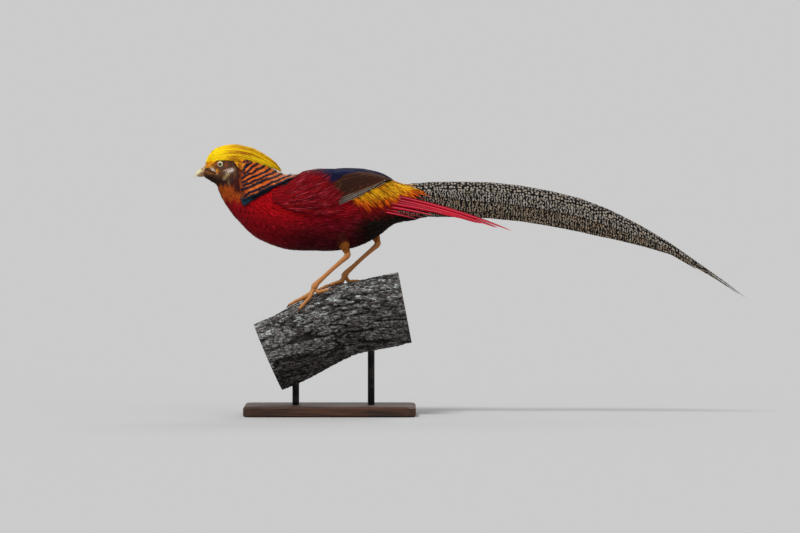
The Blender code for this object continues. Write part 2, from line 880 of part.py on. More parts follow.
def wing_place(body, x, z, side):
    """The body's point under a wing feather seen from the side at x and z."""
    high = body.cast((x, 0, 900), (0, 0, -1))[0][2]
    angle = angle_of(body, x, min(z, high - 1.5), side)
    return around(body, x, max(angle, math.radians(13)), side)


def wing_vanes(body, cover, side):
    """Flight feathers, tertials and coverts, laid over the wing from its lower edge up."""
    pick = random.Random(SEED + 3)
    pieces = []
    width = (0.55, 0.95, 1.0, 0.68)
    shares = (0, 0.28, 0.62, 0.92, 1.0)

    def drape(point, lift):
        place, normal = body.near(point)
        hit = cover.cast(place + normal * 25, -normal)
        high = 0 if hit is None else float(np.dot(hit[0] - place, normal))
        high = max(max(high, WING_LIFT) + lift, WING_LIFT + 0.5)
        return place + normal * high, normal

    for _, root_a, root_b, tip_a, tip_b, count, half, top in WING_TIERS:
        for k in range(count):
            share = k / (count - 1)
            root = np.array(root_a) + (np.array(root_b) - np.array(root_a)) * share
            tip = np.array(tip_a) + (np.array(tip_b) - np.array(tip_a)) * share
            tip = tip + np.array([pick.uniform(-1.5, 1.5), 0])
            lifts = [-1.2, top * 0.95 + 0.3 * k, top + 0.3 * k, top + 0.3 * k, top + 0.3 * k]
            points = []
            normals = []
            for q, lift in zip(shares, lifts):
                x, z = root + (tip - root) * q
                place, _ = wing_place(body, x, z, side)
                point, normal = drape(place, lift)
                points.append(point)
                normals.append(normal)

            def lay(point, i, lifts=lifts):
                return drape(point, lifts[i])[0]

            widths = [half * w * pick.uniform(0.96, 1.04) for w in width]
            thick = [WING_VANE_THICK * q for q in (1, 1, 0.9, 0.6)]
            mesh = vane(points, normals, widths, thick, lay, side * 0.5)
            pieces.append(new_object("wing_vane", *mesh))
    return pieces


def build_wing(body, name, side):
    grid = wing_grid(body, side)
    inner = []
    outer = []
    for i, line in enumerate(grid):
        u = i / (len(grid) - 1)
        low = []
        high = []
        for k, (place, normal) in enumerate(line):
            v = k / (len(line) - 1)
            swell = (math.sin(math.pi * v) ** 0.6 if 0 < v < 1 else 0) * min(1, u * 5) ** 0.6
            swell *= 1 - 0.6 * u
            lift = WING_LIFT + 1.5 * u**4
            low.append(place + normal * lift)
            high.append(place + normal * (lift + 0.9 + WING_THICK * swell))
        inner.append(low)
        outer.append(high)
    verts, faces = shell(inner, outer)
    grown_verts, grown_faces = grown_torso(body, WING_LIFT)
    shift = len(verts)
    joined = [tuple(i + shift for i in face) for face in grown_faces]
    cover = Surface(verts + grown_verts, faces + joined)
    obj = new_object("wing_" + name, verts, faces)
    combine(obj, wing_vanes(body, cover, side), "UNION")
    combine(obj, [new_object("torso_grown", *grown_torso(body, GAP))], "DIFFERENCE")
    paint(obj, "wing_%s_feathers" % name, (0.03, 0.04, 0.16), 0.5)
    return obj


# Tail
def tail_roof(x, share, inset):
    """A point and normal of the tail's vaulted roof: share is 0 on the ridge and 1 at the lower edge."""
    ridge, low, wide = by_x(TAIL_STATIONS, x)
    fade = min(1.0, (726 - x) / 200 + 0.25)
    inset = inset * fade
    wide = max(wide - inset, 0.6)
    high = max(ridge - low - inset, 1.0)
    angle = share * math.pi / 2
    point = np.array([x, wide * math.sin(angle), low + high * math.cos(angle)])
    normal = unit(np.array([0, high * math.sin(angle), wide * math.cos(angle)]))
    return point, normal


def tail_vanes():
    """Pairs of tail feathers, the longest on top and each pair nested under the one before."""
    pieces = []
    for tip_left, tip_right, first, last, inset, root, stations in TAIL_PAIRS:
        for side, tip in ((-1, tip_left), (1, tip_right)):
            inside = inset + (1.3 if side > 0 and inset == 0 else 0)
            edge = -first if side > 0 and inset == 0 else first
            points = []
            normals = []
            lefts = []
            rights = []
            thick = []
            for i in range(stations + 1):
                q = (i / stations) ** 0.92
                x = root + (tip - root) * q
                spread = min(1.0, 0.55 + 2.2 * q) * min(1.0, (1.02 - q) / 0.3) ** 0.7
                middle = (edge + last) / 2 * (1 - 0.25 * q)
                reach = (last - edge) / 2 * spread
                point, normal = tail_roof(x, side * middle, inside)
                points.append(point)
                normals.append(normal)
                lefts.append(tail_roof(x, side * (middle - reach), inside)[0])
                rights.append(tail_roof(x, side * (middle + reach), inside)[0])
                thick.append(TAIL_VANE_THICK * min(1.0, 0.45 + (1 - q) * 2.5))
            mesh = strip(points, normals, lefts, rights, thick)
            pieces.append(new_object("tail_vane", *mesh))
    return pieces


def strip(points, normals, lefts, rights, thick):
    """A vane from ready edge points."""
    widths = [1.0] * len(points)
    verts, faces = vane(points, normals, widths, thick)
    for i in range(len(points) - 1):
        verts[4 * i] = lefts[i]
        verts[4 * i + 2] = rights[i]
    return verts, faces


def tail_coverts():
    """Long crimson feathers that hang at both sides of the tail's root."""
    pieces = []
    width = (0.6, 0.95, 1.0, 0.9, 0.6)
    for _, side in SIDES:
        for root_z, tip_x, tip_z, out, half in TAIL_COVERTS:
            points = []
            for q in (0, 0.16, 0.4, 0.66, 0.88, 1.0):
                x = 122 + (tip_x - 122) * q
                z = root_z + (tip_z - root_z) * (0.55 * q + 0.45 * q * q)
                wide = by_x(TAIL_STATIONS, max(x, 150))[2]
                swell = soft_step(q / 0.16)
                y = 19.0 + (wide + out + 1.5 - 19.0) * swell - 3.0 * q
                points.append(np.array([x, side * y, z]))
            normals = [np.array([0, side * 1.0, 0])] * len(points)
            widths = [half * w for w in width]
            thick = [1.1, 1.1, 1.1, 1.0, 0.7]
            pieces.append(new_object("tail_covert", *vane(points, normals, widths, thick)))
    return pieces


def build_tail():
    rings = [body_ring(TAIL_CUT, 24, -GAP)]
    rings += [body_ring(s, 24) for s in (2.6, 2.0, 1.4, 0.8, 0.0)]
    obj = new_object("tail", *loft(rings))
    combine(obj, tail_vanes() + tail_coverts(), "UNION")
    paint(obj, "tail_netted_feathers", (0.09, 0.07, 0.05), 0.6)
    return obj


# Perch and stand
def build_perch_mesh():
    pick = random.Random(SEED)
    rings = []
    steps = 12
    last = len(PERCH_LINE) - 1
    for i in range(steps + 1):
        s = last * i / steps
        x, z = smooth(PERCH_LINE, s)
        ahead = smooth(PERCH_LINE, s + 0.05) - smooth(PERCH_LINE, s - 0.05)
        way = unit(np.array([ahead[0], 0, ahead[1]]))
        over = np.cross(way, np.array([0, -1, 0]))
        if over[2] < 0:
            over = -over
        ring = []
        for k in range(PERCH_SIDES):
            a = 2 * math.pi * k / PERCH_SIDES
            r = PERCH_RADIUS + pick.uniform(-BARK_DEPTH, BARK_DEPTH)
            ring.append(np.array([x, 0, z]) + over * r * math.cos(a) + np.array([0, r * math.sin(a), 0]))
        rings.append(ring)
    return loft(rings)


def rod_sizes(perch):
    """Where each rod meets the perch's underside: name, x and the height of its top."""
    sizes = []
    for name, x in ROD_PLACES:
        low = perch.cast((x, 0, -100), (0, 0, 1))[0][2]
        sizes.append((name, x, low + ROD_SOCKET))
    return sizes


def cylinder(name, x, low, high, radius, count=20):
    rings = []
    for z in (low, high):
        rings.append([
            np.array([x + radius * math.cos(2 * math.pi * k / count), radius * math.sin(2 * math.pi * k / count), z])
            for k in range(count)
        ])
    return new_object(name, *loft(rings))


def build_stand(perch, perch_mesh):
    branch = new_object("perch_branch", *perch_mesh)
    sizes = rod_sizes(perch)
    holes = [cylinder("hole", x, -20, top + GAP, ROD_RADIUS + GAP) for _, x, top in sizes]
    combine(branch, holes, "DIFFERENCE")
    paint(branch, "perch_grey_bark", (0.2, 0.17, 0.15), 0.9)
    long, wide, high = BASE_SIZE
    rings = []
    for inset, z in ((BASE_BEVEL, 0), (0, BASE_BEVEL), (0, high - BASE_BEVEL), (BASE_BEVEL, high)):
        x = long / 2 - inset
        y = wide / 2 - inset
        c = 12
        rings.append([
            np.array(p) for p in (
                (x - c, -y, z), (x, -y + c, z), (x, y - c, z), (x - c, y, z),
                (-x + c, y, z), (-x, y - c, z), (-x, -y + c, z), (-x + c, -y, z),
            )
        ])
    base = new_object("stand_base", *loft(rings))
    floor = high - 10
    cuts = [cylinder("socket", x, floor - GAP, high + 20, ROD_RADIUS + GAP) for _, x, _ in sizes]
    combine(base, cuts, "DIFFERENCE")
    paint(base, "stand_base_wood", (0.05, 0.035, 0.028), 0.4)
    for name, x, top in sizes:
        rod = cylinder("stand_rod_" + name, x, floor, top, ROD_RADIUS)
        paint(rod, "stand_rod_%s_steel" % name, (0.05, 0.05, 0.05), 0.4, 0.8)


# Legs and feet
def leg_shift(side):
    if side < 0:
        return np.array([0.0, -LEG_Y, 0.0])
    return np.array([RIGHT_STEP[0], LEG_Y, RIGHT_STEP[1]])


def build_thigh(body, name, side):
    path = []
    radii = []
    for i, (x, z, deep, wide) in enumerate(THIGH):
        out = np.array([0, side * 6.0 * max(0.0, 1 - i / 3), 0])
        path.append(np.array([x, 0, z]) + leg_shift(side) + out)
        radii.append((deep, wide))
    rings = tube(path, radii, 16, np.array([1.0, 0, 0]))
    obj = new_object("thigh_" + name, *loft(rings))
    combine(obj, [new_object("torso_grown", *grown_torso(body, GAP))], "DIFFERENCE")
    paint(obj, "thigh_%s_feathers" % name, (0.45, 0.25, 0.1), 0.7)


def build_shank(name, side):
    path = [np.array([x, 0, z]) + leg_shift(side) for x, z, _, _ in SHANK]
    radii = [(deep, wide) for _, _, deep, wide in SHANK]
    obj = new_object("shank_" + name, *loft(tube(path, radii, 12, FRONT_UP)))
    paint(obj, "shank_%s_scales" % name, (0.62, 0.33, 0.1), 0.45)


def toe_path(perch, side, steps, radius_a, radius_b):
    """Toe joints from the foot's base along the bark."""
    shift = leg_shift(side)
    start = np.array([FOOT_BASE[0], 0, FOOT_BASE[1]]) + shift
    first = np.array([steps[0][0], -side * steps[0][1], -0.1 * len(steps)])
    points = [start + first * 0.3 - np.array([0, 0, 0.25 * radius_a + 0.02 * steps[1][0]])]
    for i, (dx, dy) in enumerate(steps):
        share = i / (len(steps) - 1)
        radius = radius_a + (radius_b - radius_a) * share
        x = start[0] + dx
        y = start[1] + (-side) * dy
        place, normal = perch.cast((x, y, 400), (0, 0, -1))
        rise = 3.0 if i == 0 else 0.8
        points.append(place + normal * (radius + rise))
    return points


def claw_mesh(perch, root, way):
    """A hooked claw from its root, bending down towards the bark."""
    rings = []
    p = root
    heading = unit(way)
    bits = 4
    for i in range(bits):
        share = i / bits
        radius = CLAW_RADIUS * (1 - 0.75 * share)
        side = unit(np.cross(UP, heading))
        over = np.cross(heading, side)
        ring = []
        for k in range(6):
            a = 2 * math.pi * k / 6
            point = p + over * radius * 1.15 * math.cos(a) + side * radius * 0.85 * math.sin(a)
            ring.append(perch.clear(point, GAP))
        rings.append(ring)
        heading = unit(heading - UP * 0.28)
        p = perch.clear(p + heading * CLAW_LENGTH / bits, radius * 0.8 + GAP)
    return cone_loft(rings, perch.clear(p, GAP + 0.1))


def build_foot(perch, name, side):
    pieces = []
    shift = leg_shift(side)
    claws = []
    for toe, steps, radius_a, radius_b in TOES:
        points = toe_path(perch, side, steps, radius_a, radius_b)
        count = len(points)
        path = []
        radii = []
        for i in range(2 * count - 1):
            p = smooth(points, i / 2)
            share = i / (2 * count - 2)
            radius = radius_a + (radius_b - radius_a) * share
            joint = 1.0 + (0.1 if i % 2 == 0 else -0.06)
            radius *= joint
            path.append(perch.clear(p, radius + 0.5))
            radii.append((radius, radius * 0.9))
        rings = tube(path, radii, 7)
        rings = [[perch.clear(p, GAP) for p in ring] for ring in rings]
        pieces.append(new_object("toe", *loft(rings)))
        way = unit(path[-1] - path[-2])
        claws.append((toe, path[-1] + way * (GAP + 0.1), way))
    last = np.array([SHANK[-1][0], 0, SHANK[-1][1]]) + shift
    before = np.array([SHANK[-2][0], 0, SHANK[-2][1]]) + shift
    way = unit(last - before)
    start = last + way * GAP * 1.1
    path = [start, start + way * 3.0]
    path += [start + way * 6.0 - UP * 3.0, start + way * 6.5 - UP * 7.5]
    rings = tube(path, [(4.6, 4.2), (6.0, 5.8), (6.0, 6.4), (4.6, 5.2)], 12, FRONT_UP)
    pad = new_object("foot_" + name, *loft(rings))
    combine(pad, pieces, "UNION")
    paint(pad, "foot_%s_scales" % name, (0.58, 0.3, 0.1), 0.5)
    for toe, root, way in claws:
        claw = new_object("claw_%s_%s" % (name, toe), *claw_mesh(perch, root, way))
        paint(claw, "claw_%s_%s_horn" % (name, toe), (0.25, 0.15, 0.08), 0.4)


def main():
    for obj in list(bpy.data.objects):
        bpy.data.objects.remove(obj)
    body = build_body_surface()
    build_torso()
    build_neck(body)
    build_head(body)
    build_eyes(body)
    build_bill()
    for name, side in SIDES:
        build_wing(body, name, side)
    build_tail()
    perch_mesh = build_perch_mesh()
    perch = Surface(*perch_mesh)
    build_stand(perch, perch_mesh)
    for name, side in SIDES:
        build_thigh(body, name, side)
        build_shank(name, side)
        build_foot(perch, name, side)


main()
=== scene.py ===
import math

import bpy
import numpy as np
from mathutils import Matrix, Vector, noise
from mathutils.bvhtree import BVHTree


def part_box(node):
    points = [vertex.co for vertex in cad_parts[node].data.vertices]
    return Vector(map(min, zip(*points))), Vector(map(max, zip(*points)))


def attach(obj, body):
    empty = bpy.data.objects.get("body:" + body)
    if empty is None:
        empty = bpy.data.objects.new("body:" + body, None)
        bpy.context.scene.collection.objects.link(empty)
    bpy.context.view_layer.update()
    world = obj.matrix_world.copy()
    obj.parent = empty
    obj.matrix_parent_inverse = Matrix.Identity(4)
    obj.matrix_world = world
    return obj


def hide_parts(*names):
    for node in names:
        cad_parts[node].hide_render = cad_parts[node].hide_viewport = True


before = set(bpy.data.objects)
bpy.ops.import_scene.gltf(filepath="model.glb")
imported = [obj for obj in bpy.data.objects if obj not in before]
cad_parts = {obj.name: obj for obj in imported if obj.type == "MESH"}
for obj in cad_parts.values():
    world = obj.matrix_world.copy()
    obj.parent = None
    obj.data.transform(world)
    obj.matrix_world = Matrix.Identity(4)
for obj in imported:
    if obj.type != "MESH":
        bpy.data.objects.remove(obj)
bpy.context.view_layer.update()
MM = 0.001


# Stand
# A low plinth of stained and oiled hardwood, and two steel rods blackened by heat.
# The rods are pressed into blind holes in the plinth and in the underside of the bough.
WOOD_DARK = "#1E120C"
WOOD_LIGHT = "#4A2C1B"
STEEL_BLACK = "#141414"
STEEL_WORN = "#2A2826"
GRAIN_MM = 2.2


def colour(code):
    """A hex colour of the sRGB kind as linear light with full alpha."""
    parts = [int(code[i:i + 2], 16) / 255 for i in (1, 3, 5)]
    return tuple(c / 12.92 if c <= 0.04045 else ((c + 0.055) / 1.055) ** 2.4 for c in parts) + (1.0,)


def rgb(code):
    return np.array(colour(code)[:3])


def feed(mat, node, values):
    """Gives the inputs of a node their values and links."""
    for key, value in values.items():
        if isinstance(value, bpy.types.NodeSocket):
            mat.node_tree.links.new(value, node.inputs[key])
        else:
            node.inputs[key].default_value = value


def add(mat, kind, inputs=None, **settings):
    """Adds one shader node with its settings, values and links."""
    node = mat.node_tree.nodes.new("ShaderNode" + kind)
    for name, value in settings.items():
        setattr(node, name, value)
    feed(mat, node, inputs or {})
    return node


def maths(mat, kind, first, second=0.0):
    return add(mat, "Math", {0: first, 1: second}, operation=kind).outputs[0]


def times(mat, first, second):
    return maths(mat, "MULTIPLY", first, second)


def plus(mat, first, second):
    return maths(mat, "ADD", first, second)


def mixed(mat, share, first, second, kind="MIX"):
    return add(mat, "Mix", {0: share, 6: first, 7: second}, data_type="RGBA", blend_type=kind).outputs[2]


def ramp(mat, value, low, high, start=0.0, end=1.0):
    links = {"Value": value, "From Min": low, "From Max": high, "To Min": start, "To Max": end}
    return add(mat, "MapRange", links, interpolation_type="SMOOTHSTEP").outputs[0]


def tinted(mat, base, code, value, low, high, start=0.0, end=1.0):
    """The colour so far, changed towards another one as a value passes from low to high."""
    return mixed(mat, ramp(mat, value, low, high, start, end), base, colour(code))


def grain(mat, place, size_mm, detail=3.0, stretch=(1, 1, 1), rough=0.55):
    """Noise whose features are about this many millimetres, drawn out along an axis by stretch."""
    scale = tuple(1000 / (size_mm * s) for s in stretch)
    scaled = add(mat, "Mapping", {"Vector": place, "Scale": scale}).outputs[0]
    return add(mat, "TexNoise",
               {"Vector": scaled, "Scale": 1.0, "Detail": detail, "Roughness": rough}).outputs[0]


def object_place(mat):
    return add(mat, "TexCoord").outputs["Object"]


def surface(name, inputs, depth_mm=0.2):
    """Starts a material: inputs is a function that gives the values and links of its main shader."""
    mat = bpy.data.materials.new(name)
    mat.use_nodes = True
    values = inputs(mat)
    bump = values.pop("Height", None)
    if bump is not None:
        values["Normal"] = add(mat, "Bump",
                               {"Height": bump, "Distance": depth_mm * MM, "Strength": 1.0}).outputs[0]
    feed(mat, mat.node_tree.nodes["Principled BSDF"], values)
    return mat


def oiled_wood(mat):
    """Dark brown with fine lengthwise fibres and a soft satin shine, as oil leaves it."""
    place = object_place(mat)
    fibre = grain(mat, place, GRAIN_MM, 5.0, (26, 1, 1))
    broad = grain(mat, place, 30, 2.0, (5, 1, 1))
    tone = plus(mat, times(mat, fibre, 0.7), times(mat, broad, 0.4))
    base = tinted(mat, colour(WOOD_DARK), WOOD_LIGHT, tone, 0.42, 0.68)
    rough = ramp(mat, fibre, 0.3, 0.7, 0.5, 0.68)
    return {"Base Color": base, "Roughness": rough, "Specular IOR Level": 0.3, "Height": fibre}


def black_steel(mat):
    """Near black, faintly blotched metal with fine turning marks and a dull shine."""
    place = object_place(mat)
    turned = grain(mat, place, 1.2, 3.0, (1, 1, 0.2))
    blotch = grain(mat, place, 14, 2.0)
    base = tinted(mat, colour(STEEL_BLACK), STEEL_WORN, blotch, 0.4, 0.7)
    return {"Base Color": base, "Metallic": 0.9, "Roughness": ramp(mat, turned, 0.3, 0.7, 0.3, 0.5),
            "Height": turned}


def cover_node(node, mat):
    """Gives a carried-over node of the model this material."""
    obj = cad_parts[node]
    obj.data.materials.clear()
    obj.data.materials.append(mat)


# The plinth: brown fibres under a satin shine. The rods: near black with a dull metal shine.
cover_node("stand_base", surface("oiled_dark_wood", oiled_wood, depth_mm=0.08))
BLACK_STEEL = surface("blackened_steel", black_steel, depth_mm=0.03)
cover_node("stand_rod_front", BLACK_STEEL)
cover_node("stand_rod_back", BLACK_STEEL)


# Bough
# A length of an old dead bough, sawn square at both ends, its weathered bark split into long furrows.
# Pale crusts of lichen lie on its upper side. It stands on the rods and the bird grips its top.
# x and height of the bough's middle line, as all lengths here in millimetres.
PERCH_LINE = ((-108.5, 101.5), (-66, 120), (-25.4, 141.8), (23.6, 164.9), (75.3, 176.8), (131.3, 187.6))
PERCH_RADIUS = 64.0
PERCH_RINGS = 300
PERCH_SIDES = 260
FURROW_DEPTH = 5.0
BARK_RIDGE = "#928E8C"
BARK_BROWN = "#4A4340"
BARK_RIM_AND_FURROW_SHADE = "#0C0B0C"
LICHEN = "#D2D8D6"
FLAKE_DARK = "#1C1A1A"
CRACK_BLACK = "#0E0B0A"
GRIT_PALE = "#8E8880"
SAWN_WOOD = "#A98B68"
SAWN_RING = "#6E5238"
SAWN_CRACK = "#2C1E14"
RING_MM = 2.6
# Rings of a sawn end as shares of the radius; the two outer bands are still bark.
CAP_SHARES = (1.0, 0.965, 0.93, 0.6, 0.3, 0.02)


def smooth(table, s):
    """Smooth values between the rows of a table, at places s counted in rows."""
    table = np.asarray(table, float)
    last = len(table) - 1
    s = np.clip(np.asarray(s, float), 0, last)
    i = np.minimum(s.astype(int), last - 1)
    f = (s - i)[..., None]
    a = table[np.maximum(i - 1, 0)]
    b = table[i]
    c = table[i + 1]
    d = table[np.minimum(i + 2, last)]
    return 0.5 * (2 * b + (c - a) * f + (2 * a - 5 * b + 4 * c - d) * f**2 + (3 * b - a - 3 * c + d) * f**3)


def unit(v):
    return v / np.maximum(np.linalg.norm(v, axis=-1, keepdims=True), 1e-9)


def step(low, high, x):
    """A soft step from 0 at low to 1 at high."""
    t = np.clip((np.asarray(x, float) - low) / (high - low), 0, 1)
    return t * t * (3 - 2 * t)


def mix(a, b, share):
    share = np.asarray(share, float)[..., None]
    return np.asarray(a) * (1 - share) + np.asarray(b) * share


def turns(count):
    """Angles once round, in even steps."""
    return np.linspace(0, 2 * math.pi, count, endpoint=False)


def run_along(path):
    """How far along a path each of its points lies."""
    return np.concatenate([[0], np.cumsum(np.linalg.norm(np.diff(path, axis=0), axis=1))])


def rings_along(path, radii, count, up=(0, 0, 1)):
    """Rings of points round a path: radii are over and across it, turned so that over faces up."""
    path = np.asarray(path, float)
    way = unit(np.gradient(path, axis=0))
    across = unit(np.cross(np.asarray(up, float), way))
    over = np.cross(way, across)
    a = turns(count)
    radii = np.asarray(radii, float)
    if radii.ndim == 1:
        radii = np.stack([radii, radii], -1)
    out = over[:, None] * (radii[:, :1, None] * np.cos(a)[None, :, None])
    out = out + across[:, None] * (radii[:, 1:, None] * np.sin(a)[None, :, None])
    return path[:, None] + out


def piece(name, verts, faces, mats, maps=None, marking=None, sharp=None, slots=None):
    """A mesh object from points in millimetres and faces that all have as many corners."""
    verts = np.asarray(verts, float).reshape(-1, 3) * MM
    faces = np.asarray(faces, np.int32)
    mesh = bpy.data.meshes.new(name)
    mesh.vertices.add(len(verts))
    mesh.vertices.foreach_set("co", verts.ravel())
    mesh.loops.add(faces.size)
    mesh.loops.foreach_set("vertex_index", faces.ravel())
    mesh.polygons.add(len(faces))
    mesh.polygons.foreach_set("loop_start", np.arange(0, faces.size, faces.shape[1], dtype=np.int32))
    mesh.update(calc_edges=True)
    mesh.polygons.foreach_set("use_smooth", np.ones(len(faces), bool))
    for uv_name, uv in (maps or {}).items():
        corners = np.asarray(uv, float).reshape(-1, 2)[faces.ravel()]
        mesh.uv_layers.new(name=uv_name).data.foreach_set("uv", corners.ravel())
    if marking is not None:
        shade = np.ones((len(verts), 4))
        shade[:, :3] = np.clip(np.asarray(marking).reshape(-1, 3), 0, 1)
        mesh.color_attributes.new("Marking", "FLOAT_COLOR", "POINT").data.foreach_set("color", shade.ravel())
    if sharp is not None:
        ends = np.empty(len(mesh.edges) * 2, np.int32)
        mesh.edges.foreach_get("vertices", ends)
        flags = np.asarray(sharp)[ends.reshape(-1, 2)].all(axis=1)
        mesh.attributes.new("sharp_edge", "BOOLEAN", "EDGE").data.foreach_set("value", flags)
    for mat in mats:
        mesh.materials.append(mat)
    if slots is not None:
        mesh.polygons.foreach_set("material_index", np.asarray(slots, np.int32))
    obj = bpy.data.objects.new(name, mesh)
    bpy.context.scene.collection.objects.link(obj)
    return obj


def grid_faces(rows, cols, wrap=True, offset=0):
    """Faces of a grid of points, closed round its columns when wrap is set."""
    i, j = np.meshgrid(np.arange(rows - 1), np.arange(cols if wrap else cols - 1), indexing="ij")
    k = (j + 1) % cols
    return np.stack([i * cols + j, i * cols + k, (i + 1) * cols + k, (i + 1) * cols + j],
                    -1).reshape(-1, 4) + offset


def mount(obj, slot, *nodes):
    """The piece rides on the model and stands for these nodes, which it hides; slot is not used."""
    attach(obj, "root")
    if nodes:
        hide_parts(*nodes)


def tube_faces(grid):
    """The faces of a roughly tubular closed grid, turned so that they look outwards."""
    faces = grid_faces(*grid.shape[:2])
    p = grid.reshape(-1, 3)[faces]
    normal = np.cross(p[:, 2] - p[:, 0], p[:, 3] - p[:, 1])
    middle = np.repeat(grid.mean(axis=1), grid.shape[1], axis=0)[faces[:, 0]]
    return faces if (normal * (p.mean(axis=1) - middle)).sum() > 0 else faces[:, ::-1]


def tree_over(grids, faces):
    """A search tree over grids of points in millimetres, whose faces count on from grid to grid."""
    points = np.concatenate([grid.reshape(-1, 3) for grid in grids])
    return BVHTree.FromPolygons(points.tolist(), np.concatenate(faces).tolist())


def tree_of(grid):
    return tree_over([grid], [tube_faces(grid)])


def wave(x, y, z):
    """Smooth noise from about -1 to 1."""
    return noise.noise(Vector((x, y, z)))


def noise_over(grid, scale, shift=0.0):
    """Smooth noise at every point of a grid, with features of one size along each axis."""
    points = grid.reshape(-1, 3) * scale + (0.0, 0.0, shift)
    return np.array([wave(*p) for p in points]).reshape(grid.shape[:2])


def bark_shape():
    """Rings of the bough with the furrows pressed in, and how deep each point lies."""
    s = np.linspace(0, len(PERCH_LINE) - 1, PERCH_RINGS)
    line = smooth(PERCH_LINE, s)
    path = np.stack([line[:, 0], np.zeros(len(s)), line[:, 1]], -1)
    plain = rings_along(path, np.full(len(s), PERCH_RADIUS), PERCH_SIDES, (0, 1, 0))
    run = run_along(path)
    depth = np.zeros(plain.shape[:2])
    a = turns(PERCH_SIDES)
    for i, d in enumerate(run):
        for k, turn in enumerate(a + 0.0022 * d):
            y = math.cos(turn)
            z = math.sin(turn)
            warp = wave(d * 0.02, y * 3.4, z * 3.4)
            split = wave(d * 0.011 + 0.5 * warp, y * 3.6 + 0.4 * warp, z * 3.6)
            fine = wave(d * 0.04, y * 8.0 + 7 + 0.8 * warp, z * 8.0)
            cross = wave(d * 0.10 + 0.9 * warp, y * 3.0, z * 3.0 + 11)
            chip = wave(d * 0.22, y * 14, z * 14 + 3)
            furrow = max(0.0, 1 - abs(split) * 6.5) ** 1.4
            crack = max(0.0, 1 - abs(fine) * 5.0) ** 1.4
            broken = max(0.0, 1 - abs(cross) * 11.0)
            depth[i, k] = (0.66 * furrow + 0.44 * crack + 0.24 * broken
                           + 0.22 * (0.5 + chip) + 0.12 * (0.5 + warp))
    depth = np.clip(depth, 0, 1.25)
    inward = unit(path[:, None] - plain)
    return plain, plain + inward * (depth * FURROW_DEPTH)[..., None], depth, path


def painted(mat):
    """The colours that a mesh carries at its points."""
    return add(mat, "Attribute", attribute_name="Marking").outputs["Color"]


def cloud(mat, place, scale, detail, output=0):
    """Soft noise over a map that is not counted in millimetres."""
    return add(mat, "TexNoise", {"Vector": place, "Scale": scale, "Detail": detail}).outputs[output]


def warped(mat, place, scale, detail, reach):
    """A map pushed about by soft noise, so that what follows it wanders."""
    noise_at = cloud(mat, place, scale, detail, "Color")
    push = add(mat, "VectorMath", {0: noise_at, "Scale": reach}, operation="SCALE").outputs[0]
    return add(mat, "VectorMath", {0: place, 1: push}).outputs[0]


def cell_edges(mat, place, scale):
    """The distance from the borders between irregular cells."""
    return add(mat, "TexVoronoi", {"Vector": place, "Scale": scale},
               feature="DISTANCE_TO_EDGE").outputs["Distance"]


def map_parts(mat, name):
    """A UV map of the mesh, and its parts across and along."""
    uv = add(mat, "UVMap", uv_map=name).outputs[0]
    parts = add(mat, "SeparateXYZ", {0: uv}).outputs
    return uv, parts[0], parts[1]


def vector(mat, x, y):
    return add(mat, "CombineXYZ", {0: x, 1: y}).outputs[0]


def stripes(mat, along_cm, pitch_mm):
    """A wave from -1 to 1 that comes back after every pitch, over a length in centimetres."""
    return maths(mat, "SINE", times(mat, along_cm, 2 * math.pi * 10 / pitch_mm))


def weathered_bark(mat):
    """Dry grey wood skin, flaky and gritty, with near black cracks between small plates and no shine."""
    place = object_place(mat)
    flake = grain(mat, place, 3.0, 7.0, (3.0, 1, 1), 0.72)
    grit = grain(mat, place, 0.8, 4.0, (1.6, 1, 1))
    plates_at = add(mat, "Mapping",
                    {"Vector": warped(mat, place, 120.0, 2.0, 0.006), "Scale": (55, 190, 190)})
    seam = ramp(mat, cell_edges(mat, plates_at.outputs[0], 1.0), 0.0, 0.11)
    base = mixed(mat, ramp(mat, flake, 0.40, 0.60, 0.0, 0.94), painted(mat), colour(FLAKE_DARK), "MULTIPLY")
    base = tinted(mat, base, CRACK_BLACK, seam, 0.0, 1.0, 0.75, 0.0)
    base = tinted(mat, base, GRIT_PALE, grit, 0.55, 0.72, 0.0, 0.35)
    rough = ramp(mat, grit, 0.3, 0.8, 0.85, 0.98)
    height = plus(mat, plus(mat, flake, times(mat, grit, 0.4)), times(mat, seam, 0.5))
    return {"Base Color": base, "Roughness": rough, "Specular IOR Level": 0.12, "Height": height}


def sawn_wood(mat):
    """Pale end grain with brown year rings and dark drying cracks that run out from the middle."""
    uv, x, y = map_parts(mat, "SawnUV")
    length = add(mat, "VectorMath", {0: uv}, operation="LENGTH").outputs["Value"]
    ring = stripes(mat, plus(mat, length, times(mat, cloud(mat, uv, 0.5, 3.0), 0.9)), RING_MM)
    ray = vector(mat, times(mat, maths(mat, "ARCTAN2", y, x), 5.0), times(mat, length, 0.12))
    check = maths(mat, "ABSOLUTE", maths(mat, "SUBTRACT", cloud(mat, ray, 1.6, 2.0), 0.5))
    split = ramp(mat, check, 0.0, 0.02, 1.0, 0.0)
    base = tinted(mat, colour(SAWN_WOOD), SAWN_RING, ring, -0.4, 1.0)
    base = mixed(mat, times(mat, split, 0.8), base, colour(SAWN_CRACK))
    height = maths(mat, "SUBTRACT", times(mat, ring, 0.2), split)
    return {"Base Color": base, "Roughness": 0.8, "Height": height}


PERCH_PLAIN, BARK, BARK_SUNK, PERCH_PATH = bark_shape()
PERCH_TREE = tree_of(PERCH_PLAIN)


